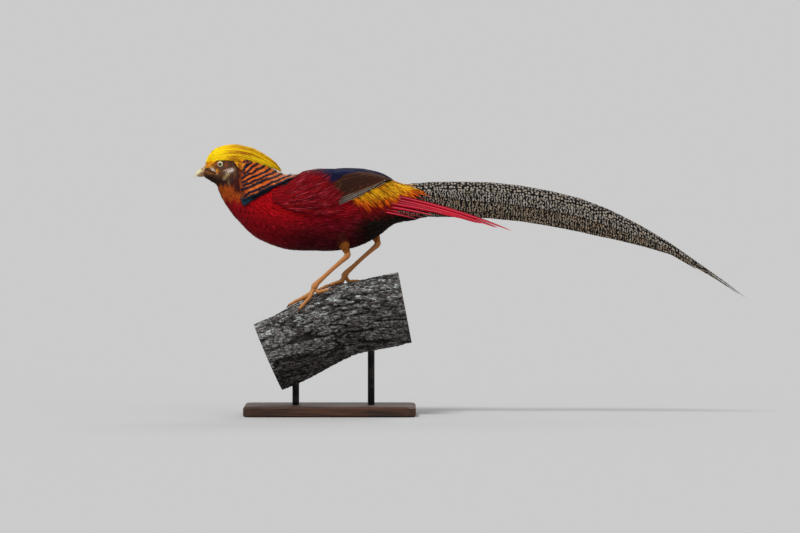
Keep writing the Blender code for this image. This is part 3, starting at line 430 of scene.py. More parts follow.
def bark_marking():
    """Grey ridges, furrows painted near black as shade that deepens with their depth, brown weathered patches
    and lichen on the upper side.
    """
    patch = noise_over(BARK, 0.028)
    spots = noise_over(BARK, (0.05, 0.12, 0.12), 9)
    crumbs = noise_over(BARK, (0.25, 0.4, 0.4))
    # Painted shade: the brown patches and the grey ridges both darken towards near black as the furrows
    # deepen.
    brown = rgb(BARK_BROWN) * (1 - 0.6 * np.clip(BARK_SUNK, 0, 1)[..., None])
    shade = mix(rgb(BARK_RIDGE), rgb(BARK_RIM_AND_FURROW_SHADE), step(0.15, 0.85, BARK_SUNK))
    shade = mix(shade, brown, step(-0.05, 0.3, patch) * 0.75)
    high = step(-0.1, 0.7, (BARK - PERCH_PATH[:, None])[..., 2] / PERCH_RADIUS)
    crust = step(0.12, 0.24, spots + 0.25 * patch + 0.35 * crumbs) * high * step(0.6, 0.25, BARK_SUNK)
    return mix(shade, rgb(LICHEN), crust * 0.8)


def build_bough():
    rows, cols = BARK.shape[:2]
    shares = np.array(CAP_SHARES)
    cap_size = len(shares) * cols
    a = turns(cols)
    verts = [BARK.reshape(-1, 3)]
    faces = [tube_faces(BARK)]
    marks = [bark_marking().reshape(-1, 3), np.tile(rgb(BARK_RIM_AND_FURROW_SHADE), (2 * cap_size, 1))]
    slots = [np.zeros((rows - 1) * cols)]
    flat = [np.zeros((rows * cols, 2))]
    for number, end, turn in ((0, 0, 1), (1, rows - 1, -1)):
        spokes = BARK[end] - PERCH_PATH[end]
        verts.append((PERCH_PATH[end] + spokes[None] * shares[:, None, None]).reshape(-1, 3))
        reach = np.linalg.norm(spokes, axis=1)[None] * shares[:, None] / 10
        flat.append(np.stack([reach * np.cos(a), reach * np.sin(a)], -1).reshape(-1, 2))
        faces.append(grid_faces(len(shares), cols, True, rows * cols + number * cap_size)[:, ::-turn])
        slots.append(np.repeat([0, 0, 1, 1, 1], cols))
    mats = [surface("weathered_bark", weathered_bark, depth_mm=1.2),
            surface("sawn_bough_end", sawn_wood, depth_mm=0.4)]
    obj = piece("bough", np.concatenate(verts), np.concatenate(faces), mats, {"SawnUV": np.concatenate(flat)},
                np.concatenate(marks), slots=np.concatenate(slots))
    mount(obj, "perch_wood", "perch_branch")


build_bough()


# Skin
# The tanned skin drawn over the manikin from the bill to the tail's root, with the thighs.
# It shows only between the feathers, so it carries the same markings as the coat above it.
# Rings from the tail's root to the bill: x and height of the back, x and height of the belly, half width.
BODY_RINGS = (
    (194, 376, 194, 356, 4), (170, 389, 170, 349, 9), (144, 399, 143, 341, 17), (115, 407, 112, 334, 28),
    (88, 421, 86, 314, 36), (56, 428, 54, 297, 43), (18, 429, 16, 288, 47), (-24, 426, -33, 287.5, 49),
    (-52, 421, -80, 291, 49), (-68, 419, -130, 311, 48), (-81, 419, -164, 342, 44),
    (-105, 426, -178, 360, 38), (-126, 435, -190, 379, 30), (-142, 443, -197, 397, 24),
    (-154, 450.5, -201, 404, 21), (-168, 456, -207, 408, 18.5), (-182, 459, -212.5, 412, 17),
    (-197, 456, -217, 414.5, 14.5), (-210, 447.5, -220.5, 417.5, 10.5),
    (-217.5, 437.5, -222, 418.5, 6.5),
)
HEAD_START = 14
SECTION_POWER = 2.2
SKIN_COLUMNS = 120
BODY_ROWS = 170
HEAD_ROWS = 90
# How thick the coat lies over the skin at each ring.
COAT_DEPTHS = (
    1.0, 2.2, 3.5, 4.5, 4.5, 4.5, 4.5, 4.5, 4.5, 4.5, 4.2, 3.6, 3.0, 2.4, 1.8, 1.3, 1.1, 1.0, 0.9, 0.6,
)
CRIMSON = "#9C040E"
CRIMSON_DEEP = "#650410"
BELLY_DARK = "#38050B"
VENT_DARK = "#150806"
RUST = "#9A4210"
THROAT_DARK = "#2A1710"
MAROON = "#3C0E0A"
GOLD = "#F09A06"
GOLD_RED = "#8C1206"
MANTLE_GREEN = "#081C22"
FACE_BUFF = "#5A3A24"
THIGH_TAN = "#9A5A22"
PORE_DARK = "#20100C"
# x and height of the lower edges of the golden rump and of the golden crown.
GOLD_EDGE = ((20, 398), (45, 374), (73, 368), (115, 377), (147, 387), (200, 392))
CROWN_EDGE = (
    (-222, 431), (-213, 434), (-206, 439), (-198, 445), (-193, 447), (-170, 447), (-165, 441), (-160, 433),
    (-156, 432), (-150, 436),
)
# Soft oval marks: x, height, half length, half height, tilt in degrees, colour.
FACE_MARKS = (
    (-171.5, 438.4, 6.0, 4.5, 0, "#4A241A"), (-181.3, 438.8, 1.9, 5.0, 0, "#84431F"),
    (-174.0, 427.6, 7.0, 3.6, 22, "#D8C6BC"), (-180.5, 429.4, 7.0, 1.1, 25, "#B89A88"),
    (-182.7, 416.0, 6.0, 3.2, 50, "#8E7450"), (-178.5, 421.0, 4.0, 2.2, 20, "#A58C68"),
    (-176.5, 408.0, 2.4, 6.0, 0, "#6E4C34"), (-171.0, 414.0, 2.6, 6.5, -10, "#40201A"),
    (-186.5, 405.5, 5.0, 3.5, 30, "#301812"), (-210.4, 436.0, 8.0, 4.0, -20, "#C8821C"),
    (-201.5, 439.5, 6.5, 4.0, 10, "#96561E"), (-204.0, 429.6, 5.6, 2.1, -32, "#DCC4B4"),
    (-196.6, 427.4, 3.3, 4.0, 0, "#E88C26"), (-195.2, 427.4, 0.8, 2.2, 0, "#6A2C10"),
    (-197.2, 422.2, 2.2, 1.5, 0, "#C89468"), (-206.0, 413.5, 11.0, 4.5, -25, "#2C1812"),
    (-210.0, 423.6, 7.5, 1.7, -14, "#A4622E"), (-207.0, 426.8, 8.0, 0.7, -17, "#22100B"),
    (-187.0, 445.6, 10.0, 1.1, 0, "#2E160E"), (-172.5, 443.4, 5.0, 1.1, -22, "#2E160E"),
    (-164.6, 436.0, 7.0, 1.2, -62, "#2E160E"),
)


def body_point(s, a):
    """Points of the body's form at places s along its rings and angles a round them, 0 on the back."""
    rows = smooth(BODY_RINGS, s)
    top = np.stack([rows[..., 0], np.zeros(rows.shape[:-1]), rows[..., 1]], -1)
    low = np.stack([rows[..., 2], np.zeros(rows.shape[:-1]), rows[..., 3]], -1)
    up = np.sign(np.cos(a)) * np.abs(np.cos(a)) ** (2 / SECTION_POWER)
    out = np.sign(np.sin(a)) * np.abs(np.sin(a)) ** (2 / SECTION_POWER)
    point = (top + low) / 2 + (top - low) / 2 * up[..., None]
    point[..., 1] += rows[..., 4] * out
    return point


def outward(points):
    """Normals of a grid that closes round its columns, turned away from its middle."""
    along = np.gradient(points, axis=0)
    round_it = np.roll(points, -1, axis=1) - np.roll(points, 1, axis=1)
    normal = unit(np.cross(round_it, along))
    middle = points.mean(axis=1, keepdims=True)
    return normal * np.sign((normal * (points - middle)).sum(-1).mean())


def by_x(table, x):
    """A value read between the rows of a table of x and value, in whatever order they stand."""
    table = np.asarray(table, float)
    order = np.argsort(table[:, 0])
    return np.interp(x, table[order, 0], table[order, 1])


def back_height(x):
    return by_x([(r[0], r[1]) for r in BODY_RINGS], x)


def over_gold_edge(p):
    """How high points lie over the line where the golden rump meets the flank."""
    return p[..., 2] - by_x(GOLD_EDGE, p[..., 0])


def marking(p):
    """The coat's colour at points of the body in millimetres."""
    x = p[..., 0]
    y = np.abs(p[..., 1])
    z = p[..., 2]
    low = by_x([(r[2], r[3]) for r in BODY_RINGS], x)
    h = (z - low) / (back_height(x) - low)
    edge = over_gold_edge(p)
    neck = step(-143, -150, x)
    deep = np.clip(0.75 * step(-130, 30, x) + 0.9 * step(0.62, 0.2, h) - 0.35, 0, 1)
    shade = np.broadcast_to(rgb(CRIMSON), p.shape)
    for code, share in (
        (CRIMSON_DEEP, deep),
        (BELLY_DARK, step(-150, -20, x) * step(0.42, 0.1, h) * 0.9),
        (VENT_DARK, step(22, 72, x) * step(0.46, 0.24, h)),
        (GOLD_RED, step(5, 40, x) * step(-16, -3, edge)),
        (GOLD, step(-8, 30, x) * step(-3, 5, edge)),
        (MANTLE_GREEN, step(0, -14, x) * step(-112, -96, x) * step(0.80, 0.9, h)),
        (RUST, neck * step(366, 386, z + 3 * np.sin(x * 0.5))),
        (THROAT_DARK, neck * step(396, 406, z + 3 * np.sin(x * 0.8))),
        (MAROON, neck * step(-174, -163, x) * step(382, 394, z)),
        (FACE_BUFF, neck * step(410, 422, z) * step(-158, -166, x)),
    ):
        shade = mix(shade, rgb(code), share)
    wobble = np.sin(1.7 * x + 0.9 * z) + np.sin(2.9 * z - 1.3 * x + 2)
    wobble = 0.19 * (wobble + 1.4 * np.sin(5.2 * z + 2.1 * x) * np.sin(1.1 * x))
    for mark_x, mark_z, half_length, half_height, tilt, code in FACE_MARKS:
        c, s = math.cos(math.radians(tilt)), math.sin(math.radians(tilt))
        u = ((x - mark_x) * c + (z - mark_z) * s) / half_length
        v = ((z - mark_z) * c - (x - mark_x) * s) / half_height
        shade = mix(shade, rgb(code), 0.85 * step(1.4, 0.5, np.hypot(u, v) + wobble) * neck * step(2, 6, y))
    crown = step(-0.8, 0.8, z - np.interp(x, *np.array(CROWN_EDGE).T))
    return mix(shade, rgb(GOLD), crown * step(-150, -153, x))


def skin_material(mat):
    """Dull dry skin with fine pores, in the colours of the coat above it."""
    pore = grain(mat, object_place(mat), 0.9, 4.0)
    base = tinted(mat, painted(mat), PORE_DARK, pore, 0.35, 0.7, 0.15, 0.6)
    return {"Base Color": base, "Roughness": 0.75, "Height": pore}


SKIN_S = np.concatenate([np.linspace(0, HEAD_START, BODY_ROWS), np.linspace(HEAD_START, 19, HEAD_ROWS)[1:]])
SKIN_A = turns(SKIN_COLUMNS)
COAT_GRID = body_point(*np.meshgrid(SKIN_S, SKIN_A, indexing="ij"))
COAT_OUT = outward(COAT_GRID)
SKIN_DEPTH = smooth(np.array(COAT_DEPTHS)[:, None], SKIN_S)[:, 0]
SKIN_GRID = COAT_GRID - COAT_OUT * SKIN_DEPTH[:, None, None]
COAT_TREE = tree_of(COAT_GRID)
SKIN_TREE = tree_of(SKIN_GRID)

# x, height, half length and half width, from the flank down to the ankle.
THIGH = (
    (16, 333, 20, 15), (19, 318, 17, 13.5), (23, 303, 12.5, 10.5), (27.5, 292, 7.6, 6.6),
    (30.5, 284.5, 5.2, 4.6),
)
THIGH_COAT = 1.6
THIGH_RINGS = 26
THIGH_COLUMNS = 40
LEG_Y = 22.0
RIGHT_STEP = (52.5, 19.0)
SIDES = (("left", -1), ("right", 1))


def leg_shift(side):
    """How far a leg stands from the middle: the right foot is farther back and higher up the bough."""
    return np.array([0, -LEG_Y, 0]) if side < 0 else np.array([RIGHT_STEP[0], LEG_Y, RIGHT_STEP[1]])


def thigh_grid(side):
    """Rings of a thigh's skin, leaning in under the flank at its top."""
    s = np.linspace(0, len(THIGH) - 1, THIGH_RINGS)
    rows = smooth(THIGH, s)
    path = np.stack([rows[:, 0], side * 6.0 * np.clip(1 - s / 3, 0, 1), rows[:, 1]], -1) + leg_shift(side)
    return rings_along(path, rows[:, 2:] - THIGH_COAT, THIGH_COLUMNS, (1, 0, 0))


THIGH_GRIDS = {name: thigh_grid(side) for name, side in SIDES}


def joined(parts):
    """Several meshes as one: each part is a grid of points, its faces and its colours."""
    starts = np.cumsum([0] + [grid.shape[0] * grid.shape[1] for grid, _, _ in parts])
    points = np.concatenate([grid.reshape(-1, 3) for grid, _, _ in parts])
    faces = np.concatenate([quads + start for (_, quads, _), start in zip(parts, starts)])
    return points, faces, np.concatenate([shade.reshape(-1, 3) for _, _, shade in parts])


def build_skin():
    parts = [(SKIN_GRID, tube_faces(SKIN_GRID), marking(COAT_GRID))]
    for grid in THIGH_GRIDS.values():
        parts.append((grid, tube_faces(grid), np.broadcast_to(rgb(THIGH_TAN) * 0.7, grid.shape)))
    verts, faces, marks = joined(parts)
    obj = piece("skin", verts, faces, [surface("tanned_skin", skin_material, depth_mm=0.2)], marking=marks)
    mount(obj, "body_feathers", "head", "neck", "torso", "thigh_left", "thigh_right")


build_skin()


# Eyes
# Blown-glass eyes with a pale cream iris and a small pupil, set in the skin behind fleshy lids.
# The clear cornea stands a little proud of the glass ball.
EYE_CORNEA = 0.06
EYE_RINGS = 60
EYE_COLUMNS = 72
IRIS_CREAM = "#F0E4B8"
IRIS_TAN = "#C9B474"
IRIS_EDGE = "#B9A366"
PUPIL = "#050404"
EYE_RIM = "#140C08"
LID_RINGS = 12
LID_COLUMNS = 96
LID_OPEN = 64.0
LID_WIDE = 36
LID_EDGE = "#2A1912"
LID_OUTER = "#8A5A2C"
LID_ROOT = "#4E2C18"
LID_WRINKLE = "#3A2012"


def glass_eye(mat):
    """A cream iris with faint spokes, a black pupil and a dark rim, under a clear coat with sharp glints."""
    _, turn, polar = map_parts(mat, "EyeUV")
    fibre = cloud(mat, vector(mat, times(mat, turn, 60.0), times(mat, polar, 0.06)), 1.0, 3.0)
    iris = tinted(mat, colour(IRIS_CREAM), IRIS_TAN, fibre, 0.3, 0.7)
    iris = tinted(mat, iris, IRIS_EDGE, polar, 44, 58)
    base = mixed(mat, ramp(mat, polar, 30.0, 32.5), colour(PUPIL), iris)
    base = tinted(mat, base, EYE_RIM, polar, 58.0, 62.0)
    return {"Base Color": base, "Roughness": 0.12, "Coat Weight": 1.0, "Coat Roughness": 0.02, "IOR": 1.5}


def lid_skin(mat):
    """Fleshy brown skin with fine wrinkles and a slight shine."""
    wrinkle = grain(mat, object_place(mat), 0.45, 4.0)
    base = tinted(mat, painted(mat), LID_WRINKLE, wrinkle, 0.4, 0.75, 0.0, 0.4)
    return {"Base Color": base, "Roughness": 0.5, "Height": wrinkle}


def eye_axes(side):
    """The way an eye looks, and two axes across it: forward along the head and up."""
    look = unit(np.array([-0.16, side * 1.0, 0.06]))
    ahead = unit(np.cross(np.array([0, 0, 1.0]), look)) * -side
    return look, ahead, unit(np.cross(look, ahead)) * side


def cap_points(centre, side, polar, turn, radius):
    """Points round an eye: polar is the angle from the way it looks, turn the angle round that."""
    look, ahead, up = eye_axes(side)
    rim = ahead * np.cos(turn)[..., None] + up * np.sin(turn)[..., None]
    way = look * np.cos(polar)[..., None] + rim * np.sin(polar)[..., None]
    return centre + way * np.asarray(radius)[..., None]


def build_eye(name, side, ball_mat, lid_mat):
    low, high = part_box("eye_" + name)
    centre = (np.array(low) + np.array(high)) / 2 / MM
    radius = (high[0] - low[0]) / 2 / MM - 0.15
    polar, turn = np.meshgrid(np.radians(np.linspace(0.6, 179, EYE_RINGS)), turns(EYE_COLUMNS), indexing="ij")
    swell = radius * (1 + EYE_CORNEA * np.exp(-((np.degrees(polar) / 34) ** 2)))
    verts = cap_points(centre, side, polar, turn, swell)
    flat = np.stack([turn / (2 * math.pi), np.degrees(polar)], -1)
    ball = piece("glass_eye_" + name, verts, tube_faces(verts), [ball_mat], {"EyeUV": flat})
    mount(ball, "eye_glass", "eye_" + name)
    share, turn = np.meshgrid(np.linspace(0, 1, LID_RINGS), turns(LID_COLUMNS), indexing="ij")
    opening = LID_OPEN + 3.0 * np.cos(2 * turn) - 2.0 * np.maximum(np.sin(turn), 0)
    polar = np.radians(opening + share * LID_WIDE)
    fold = 0.35 * np.sin(share * math.pi * 3.1) ** 2 * (1 - share)
    fold = fold + 0.5 * np.sin(math.pi * np.minimum(share * 2.2, 1))
    verts = cap_points(centre, side, polar, turn, radius + 0.12 + fold - 0.9 * step(0.55, 1, share))
    marks = mix(rgb(LID_EDGE), rgb(LID_OUTER), step(0.18, 0.5, share))
    marks = mix(marks, rgb(LID_ROOT), step(0.6, 0.9, share))
    lid = piece("eyelid_" + name, verts, grid_faces(LID_RINGS, LID_COLUMNS)[:, ::side], [lid_mat],
                marking=marks)
    mount(lid, "head_feathers")


GLASS_EYE = surface("glass_eye", glass_eye)
LID_SKIN = surface("eyelid_skin", lid_skin, depth_mm=0.12)
for eye_name, eye_side in SIDES:
    build_eye(eye_name, eye_side, GLASS_EYE, LID_SKIN)


# Bill
# The real horn sheath, short and down-curved, pale at the tip and browner at the root.
# The upper half overhangs the lower one; a soft flap covers each nostril.
# Both halves from root to tip: x, upper height, lower height, half width.
BILL_UPPER = (
    (-214.0, 438.6, 425.2, 6.4), (-217.6, 437.0, 424.9, 6.2), (-221.5, 434.6, 424.3, 5.6),
    (-226.0, 431.4, 423.6, 4.7), (-230.0, 428.6, 422.0, 3.7), (-233.0, 425.6, 419.4, 2.6),
    (-235.4, 421.0, 416.6, 1.3), (-236.4, 416.4, 415.2, 0.25),
)
BILL_LOWER = (
    (-214.0, 425.8, 418.6, 5.4), (-219.9, 425.2, 417.6, 5.0), (-223.0, 424.4, 416.9, 4.2),
    (-226.5, 423.2, 416.8, 3.3), (-229.5, 421.8, 417.0, 2.3), (-232.3, 419.6, 417.6, 0.3),
)
NOSTRIL = (-223.4, 430.4)
BILL_RINGS = 60
BILL_COLUMNS = 48
HORN_TIP = "#E2D6A8"
HORN_ROOT = "#A87C42"
HORN_BROW = "#6E4A28"
HORN_GAPE = "#A8683C"
HORN_DARK_AND_SHADE = "#4A2E1A"
HORN_STREAK = "#8A6436"
HORN_CLOUD = "#6E4E2E"


def bill_grid(table, arch):
    """Rings of one half of the bill: arched outside, sharp at the biting edges and hollow between them."""
    rows = smooth(table, np.linspace(0, len(table) - 1, BILL_RINGS))
    a = turns(BILL_COLUMNS)
    up = np.cos(a)
    share = np.where(up > 0, np.abs(up) ** 1.1, 0.14 * np.abs(up) ** 1.5)
    low, high = (rows[:, 2:3], rows[:, 1:2]) if arch > 0 else (rows[:, 1:2], rows[:, 2:3])
    z = low + (high - low) * share
    y = rows[:, 3:4] * np.sign(np.sin(a)) * np.abs(np.sin(a)) ** 0.8
    return np.stack([np.broadcast_to(rows[:, :1], z.shape), y, z], -1)


def horn(mat):
    """Pale, slightly see-through horn with fine lengthwise streaks, brown clouds and a soft polish."""
    place = object_place(mat)
    streak = grain(mat, place, 0.35, 4.0, (8, 1, 2))
    base = tinted(mat, painted(mat), HORN_STREAK, streak, 0.4, 0.75, 0.0, 0.35)
    base = tinted(mat, base, HORN_CLOUD, grain(mat, place, 3.0, 2.0), 0.5, 0.75, 0.0, 0.3)
    return {"Base Color": base, "Roughness": ramp(mat, streak, 0.3, 0.7, 0.3, 0.45),
            "Subsurface Weight": 0.08, "Subsurface Radius": (0.002, 0.0012, 0.0006),
            "Subsurface Scale": 0.4, "Height": streak}


def horn_marks(grid, dark):
    """Pale tip, brown root, an orange-brown strip along the gape, and darker parts where dark says so."""
    x, z = grid[..., 0], grid[..., 2]
    gape = np.interp(x, (-240, -231, -219), (413, 418.6, 427.5))
    shade = mix(rgb(HORN_TIP), rgb(HORN_ROOT), step(-231, -217, x))
    shade = mix(shade, rgb(HORN_BROW), step(-223, -215, x) * step(429, 435, z) * 0.7)
    shade = mix(shade, rgb(HORN_GAPE), step(0.6, -0.8, z - gape) * step(-238, -228, x) * 0.8)
    return mix(shade, rgb(HORN_DARK_AND_SHADE), dark)


def build_bill(mat):
    grid = bill_grid(BILL_UPPER, 1)
    x, z = grid[..., 0] - NOSTRIL[0], grid[..., 2] - NOSTRIL[1]
    near = np.hypot(x / 2.6, (z + 0.28 * x) / 0.95)
    side = np.sign(grid[..., 1]) * step(1.0, 2.5, np.abs(grid[..., 1]))
    grid[..., 1] -= side * (1.5 * step(1.15, 0.4, near) - 0.35 * np.exp(-((near - 1.7) ** 2) * 3))
    hole = step(1.1, 0.5, near)
    # Painted shade: a dark line along the upper bill's lower edge, where it meets the lower bill; the nostril
    # is darkened too.
    rim = step(1.0, 0.2, np.abs(grid[..., 2] - grid[..., 2].min(axis=1, keepdims=True)))
    marks = horn_marks(grid, np.maximum(hole, 0.6 * rim))
    upper = piece("bill_upper_horn", grid, tube_faces(grid), [mat], marking=marks)
    mount(upper, "bill_horn", "bill_upper")
    grid = bill_grid(BILL_LOWER, -1)
    lower = piece("bill_lower_horn", grid, tube_faces(grid), [mat], marking=horn_marks(grid, 0.3))
    mount(lower, "bill_horn", "bill_lower")


build_bill(surface("pale_horn", horn, depth_mm=0.05))


# Legs
# The bird's own dried legs, wired through: broad horny plates lap down the front of each shank and
# the tops of the toes, with small net-like scales behind. Each toe ends in a curved claw.
# x, height and two half widths, from the ankle down to the root of the toes.
SHANK = (
    (30.65, 284.6, 4.6, 4.2), (31.57, 281.83, 5.2, 4.5), (29.6, 278.2, 5.2, 4.2), (26.0, 274.5, 4.6, 3.5),
    (17.0, 266.8, 3.9, 3.0), (3.0, 254.5, 3.6, 2.8), (-11.0, 241.5, 3.8, 3.0), (-19.5, 233.8, 4.5, 3.9),
    (-22.5, 231.0, 4.8, 4.4), (-25.0, 227.8, 5.6, 5.6), (-27.4, 224.0, 5.6, 6.0), (-28.4, 220.0, 4.4, 5.0),
)
FOOT_BASE = (-26.0, 221.5)
# Each toe's steps in x and y from the foot's base, its radius at the base and at the end.
TOES = (
    ("middle", ((-8, 2.5), (-20, 8), (-32, 13), (-43.5, 17)), 4.2, 2.5),
    ("outer", ((-6, -4), (-13, -9), (-20, -13.5), (-26, -17)), 3.9, 2.3),
    ("inner", ((-5, 6), (-12, 14.5), (-19, 22), (-25.5, 28)), 3.9, 2.3),
    ("hind", ((7, -1), (14, -2.5), (20, -3.5), (25, -4.5)), 3.7, 2.3),
)
SHANK_SCUTE = 3.4
TOE_SCUTE = 2.3
CLAW_LENGTH = 9.5
CLAW_RADIUS = 1.9
CLAW_BEND = 1.28
CLAW_RINGS = 22
CLAW_SIDES = 16
NET_SCALE = 1.15
LEG_ORANGE = "#B8702C"
LEG_PALE = "#D89A50"
LEG_SEAM = "#7A4418"
LEG_DIRT = "#8A5526"
CLAW_DARK = "#4A2C18"
CLAW_TIP = "#8A6642"
CLAW_STREAK = "#1E120A"


def near_points(tree, points):
    """The nearest places and normals on a surface for many points."""
    places = np.empty_like(points)
    normals = np.empty_like(points)
    for i, p in enumerate(points):
        place, normal, _, _ = tree.find_nearest(p)
        places[i] = place
        normals[i] = normal
    return places, normals


def scaled_limb(path, radii, up, pitch, count, front):
    """A limb with lapping plates on its front, and each point's place within its plate."""
    path = np.asarray(path, float)
    run = run_along(path)
    plates = max(3, round(run[-1] / pitch))
    s = (np.arange(plates)[:, None] + np.array([0, 0.25, 0.6, 0.85, 0.97])).ravel() / plates
    s = np.append(s, 1.0)
    rows = np.interp(s * run[-1], run, np.arange(len(path)))
    line = smooth(path, rows)
    size = smooth(np.asarray(radii, float), rows)
    grid = rings_along(line, size, count, up)
    a = turns(count)
    within = (s * plates) % 1.0
    within[-1] = 1.0
    mask = step(math.cos(math.radians(front)), math.cos(math.radians(front * 0.7)), np.cos(a))[None]
    bulge = (0.30 * within**1.3 - 0.12 * step(0.93, 1.0, within) * 2)[:, None] * mask
    crown = 0.12 * mask * np.cos(a * 2)[None]
    grid = grid + unit(grid - line[:, None]) * (bulge + crown - 0.15)[..., None]
    seam = step(0.80, 0.97, within)[:, None] * mask
    return grid, seam, np.broadcast_to(mask, seam.shape)


def leg_horn(mat):
    """Orange horn with darker seams, a net of tiny scales and the low, waxy shine of dry skin."""
    place = object_place(mat)
    net = ramp(mat, cell_edges(mat, place, 1000 / NET_SCALE), 0.02, 0.14)
    dirt = grain(mat, place, 4.0, 4.0)
    base = tinted(mat, painted(mat), LEG_SEAM, net, 0.0, 1.0, 0.45, 0.0)
    base = tinted(mat, base, LEG_DIRT, dirt, 0.5, 0.8, 0.0, 0.4)
    height = plus(mat, net, times(mat, grain(mat, place, 0.4, 2.0), 0.3))
    return {"Base Color": base, "Roughness": ramp(mat, dirt, 0.3, 0.8, 0.38, 0.55), "Height": height}


def claw_horn(mat):
    """Dark polished horn, streaked along its length."""
    streak = grain(mat, object_place(mat), 0.4, 3.0, (4, 4, 1))
    base = tinted(mat, painted(mat), CLAW_STREAK, streak, 0.4, 0.7, 0.0, 0.4)
    return {"Base Color": base, "Roughness": 0.32, "Height": streak}


def toe_line(side, steps, radius_a, radius_b):
    """Joints of a toe from the foot's base along the bough's surface."""
    start = np.array([FOOT_BASE[0], 0, FOOT_BASE[1]]) + leg_shift(side)
    first = np.array([steps[0][0], -side * steps[0][1], -0.1 * len(steps)])
    points = [start + first * 0.3 - np.array([0, 0, 0.25 * radius_a + 0.02 * steps[1][0]])]
    for i, (dx, dy) in enumerate(steps):
        clearance = radius_a + (radius_b - radius_a) * i / (len(steps) - 1) + (1.2 if i == 0 else 0.3)
        above = Vector((start[0] + dx, start[1] - side * dy, 400))
        place, normal, _, _ = PERCH_TREE.ray_cast(above, Vector((0, 0, -1)))
        points.append(np.array(place) + np.array(normal) * clearance)
    return np.array(points)


def leg_marks(grid, seam, mask):
    shade = mix(np.broadcast_to(rgb(LEG_ORANGE), grid.shape), rgb(LEG_PALE), mask * 0.45)
    return mix(shade, rgb(LEG_SEAM), seam * 0.75)


def closed_ends(grid):
    """The grid with its first and last ring drawn in to a point, so that it closes."""
    first = grid[:1].mean(axis=1, keepdims=True)
    last = grid[-1:].mean(axis=1, keepdims=True)
    return np.concatenate([first + (grid[:1] - first) * 0.02, grid, last + (grid[-1:] - last) * 0.02])


def off_bough(line, clearance):
    """A line whose points stand at least this far off the bark."""
    places, normals = near_points(PERCH_TREE, line)
    high = ((line - places) * normals).sum(-1)
    return line + normals * np.maximum(clearance - high, 0)[:, None]


def build_leg(name, side, horn_mat, claw_mat):
    rows = np.array(SHANK)
    path = np.stack([rows[:, 0], np.zeros(len(rows)), rows[:, 1]], -1) + leg_shift(side)
    limbs = [scaled_limb(path, rows[:, 2:], (-0.7, 0, 0.7), SHANK_SCUTE, 36, 80)]
    claws = []
    for toe, steps, radius_a, radius_b in TOES:
        line = toe_line(side, steps, radius_a, radius_b)
        s = np.linspace(0, len(line) - 1, 4 * (len(line) - 1) + 1)
        radius = radius_a + (radius_b - radius_a) * s / s[-1]
        radius = radius * (1.0 + 0.07 * np.cos(2 * math.pi * s)) * np.where(s < s[-1], 1, 0.9)
        line = off_bough(smooth(line, s), radius * 0.95)
        limbs.append(scaled_limb(line, np.stack([radius, radius * 0.92], -1), (0, 0, 1), TOE_SCUTE, 24, 95))
        claws.append((toe, line[-1], unit(line[-1] - line[-2])))
    parts = []
    for grid, seam, mask in limbs:
        shade = leg_marks(grid, seam, mask)
        grid = closed_ends(grid)
        parts.append((grid, tube_faces(grid), np.concatenate([shade[:1], shade, shade[-1:]])))
    verts, faces, marks = joined(parts)
    leg = piece("leg_" + name, verts, faces, [horn_mat], marking=marks)
    mount(leg, "leg_scales", "shank_" + name, "foot_" + name)
    for toe, root, way in claws:
        build_claw("claw_%s_%s" % (name, toe), root, way, claw_mat)


def build_claw(name, root, way, mat):
    """A hooked claw that grows out of its toe's end and bends down to the bark."""
    share = np.linspace(0, 1, CLAW_RINGS)
    line = [root - way * 1.2]
    heading = way.copy()
    for _ in range(CLAW_RINGS - 1):
        line.append(line[-1] + heading * (CLAW_LENGTH + 1.6) / CLAW_RINGS)
        heading = unit(heading - np.array([0, 0, CLAW_BEND / CLAW_RINGS]))
    radius = CLAW_RADIUS * (1 - share**1.4 * 0.93)
    line = off_bough(np.array(line), radius * 1.1 + 0.1)
    grid = closed_ends(rings_along(line, np.stack([radius * 1.15, radius * 0.85], -1), CLAW_SIDES, (0, 0, 1)))
    tint = mix(rgb(CLAW_DARK), rgb(CLAW_TIP), np.concatenate([[0], share, [1]]) ** 2)
    marks = np.repeat(tint[:, None], CLAW_SIDES, axis=1)
    mount(piece(name + "_horn", grid, tube_faces(grid), [mat], marking=marks), "claw_horn", name)


# Orange, scaly and slightly waxy legs; dark, more polished claws.
LEG_HORN = surface("leg_horn", leg_horn, depth_mm=0.12)
CLAW_HORN = surface("claw_horn", claw_horn, depth_mm=0.03)
for leg_name, leg_side in SIDES:
    build_leg(leg_name, leg_side, LEG_HORN, CLAW_HORN)


# Body coat
# Thousands of narrow contour feathers rooted in the skin, lapping backwards from the throat to the vent.
# Crimson on breast and flanks, near black below and behind, with looser hair-like barbs at their tips.
BAKE_PATCH = 0.003
SHAFT_LIGHT = 1.3
STRAND_SHEEN_TINT = (1.9, 4.5, 4.2)
STRAND_FRONT = -118
COAT_SEED = 90125
SCATTER_TRIES = 9
# Stations along a feather, with its width at each of them and a painted shade that darkens it towards its
# root, under the feathers that lap over it.
COAT_SHARES = (0, 0.26, 0.6, 0.87, 1.0)
COAT_SHAPE = (0.45, 0.95, 1.0, 0.62, 0.08)
COAT_ROOT_SHADE = (0.66, 0.84, 1.0, 1.04, 1.08)
COAT_ROLL = 0.12
COAT_THICK = 0.25
# How far the coat lies backwards, and upwards on the flank and on the belly, over x.
LIE_X = (-240, -205, -170, -150, -110, -50, 20, 70, 200)
LIE_RIGHT = (1.0, 0.9, 0.7, 0.45, 0.65, 1.0, 1.0, 1.0, 1.0)
LIE_UP_FLANK = (-0.1, -0.45, -0.8, -0.9, -0.7, 0.05, 0.35, 0.25, 0.0)
LIE_UP_BELLY = (-0.1, -0.45, -0.8, -0.9, -0.8, -0.1, 0.10, 0.20, 0.25)


def feather_map(mat, slope):
    """A feather's own map: the map, the side and the distance off the shaft, and the slant along a barb."""
    uv, aside, along = map_parts(mat, "FeatherUV")
    across = maths(mat, "ABSOLUTE", aside)
    return uv, aside, across, maths(mat, "SUBTRACT", along, times(mat, across, slope))


def grey(mat, tone):
    return add(mat, "CombineColor", {0: tone, 1: tone, 2: tone}).outputs[0]


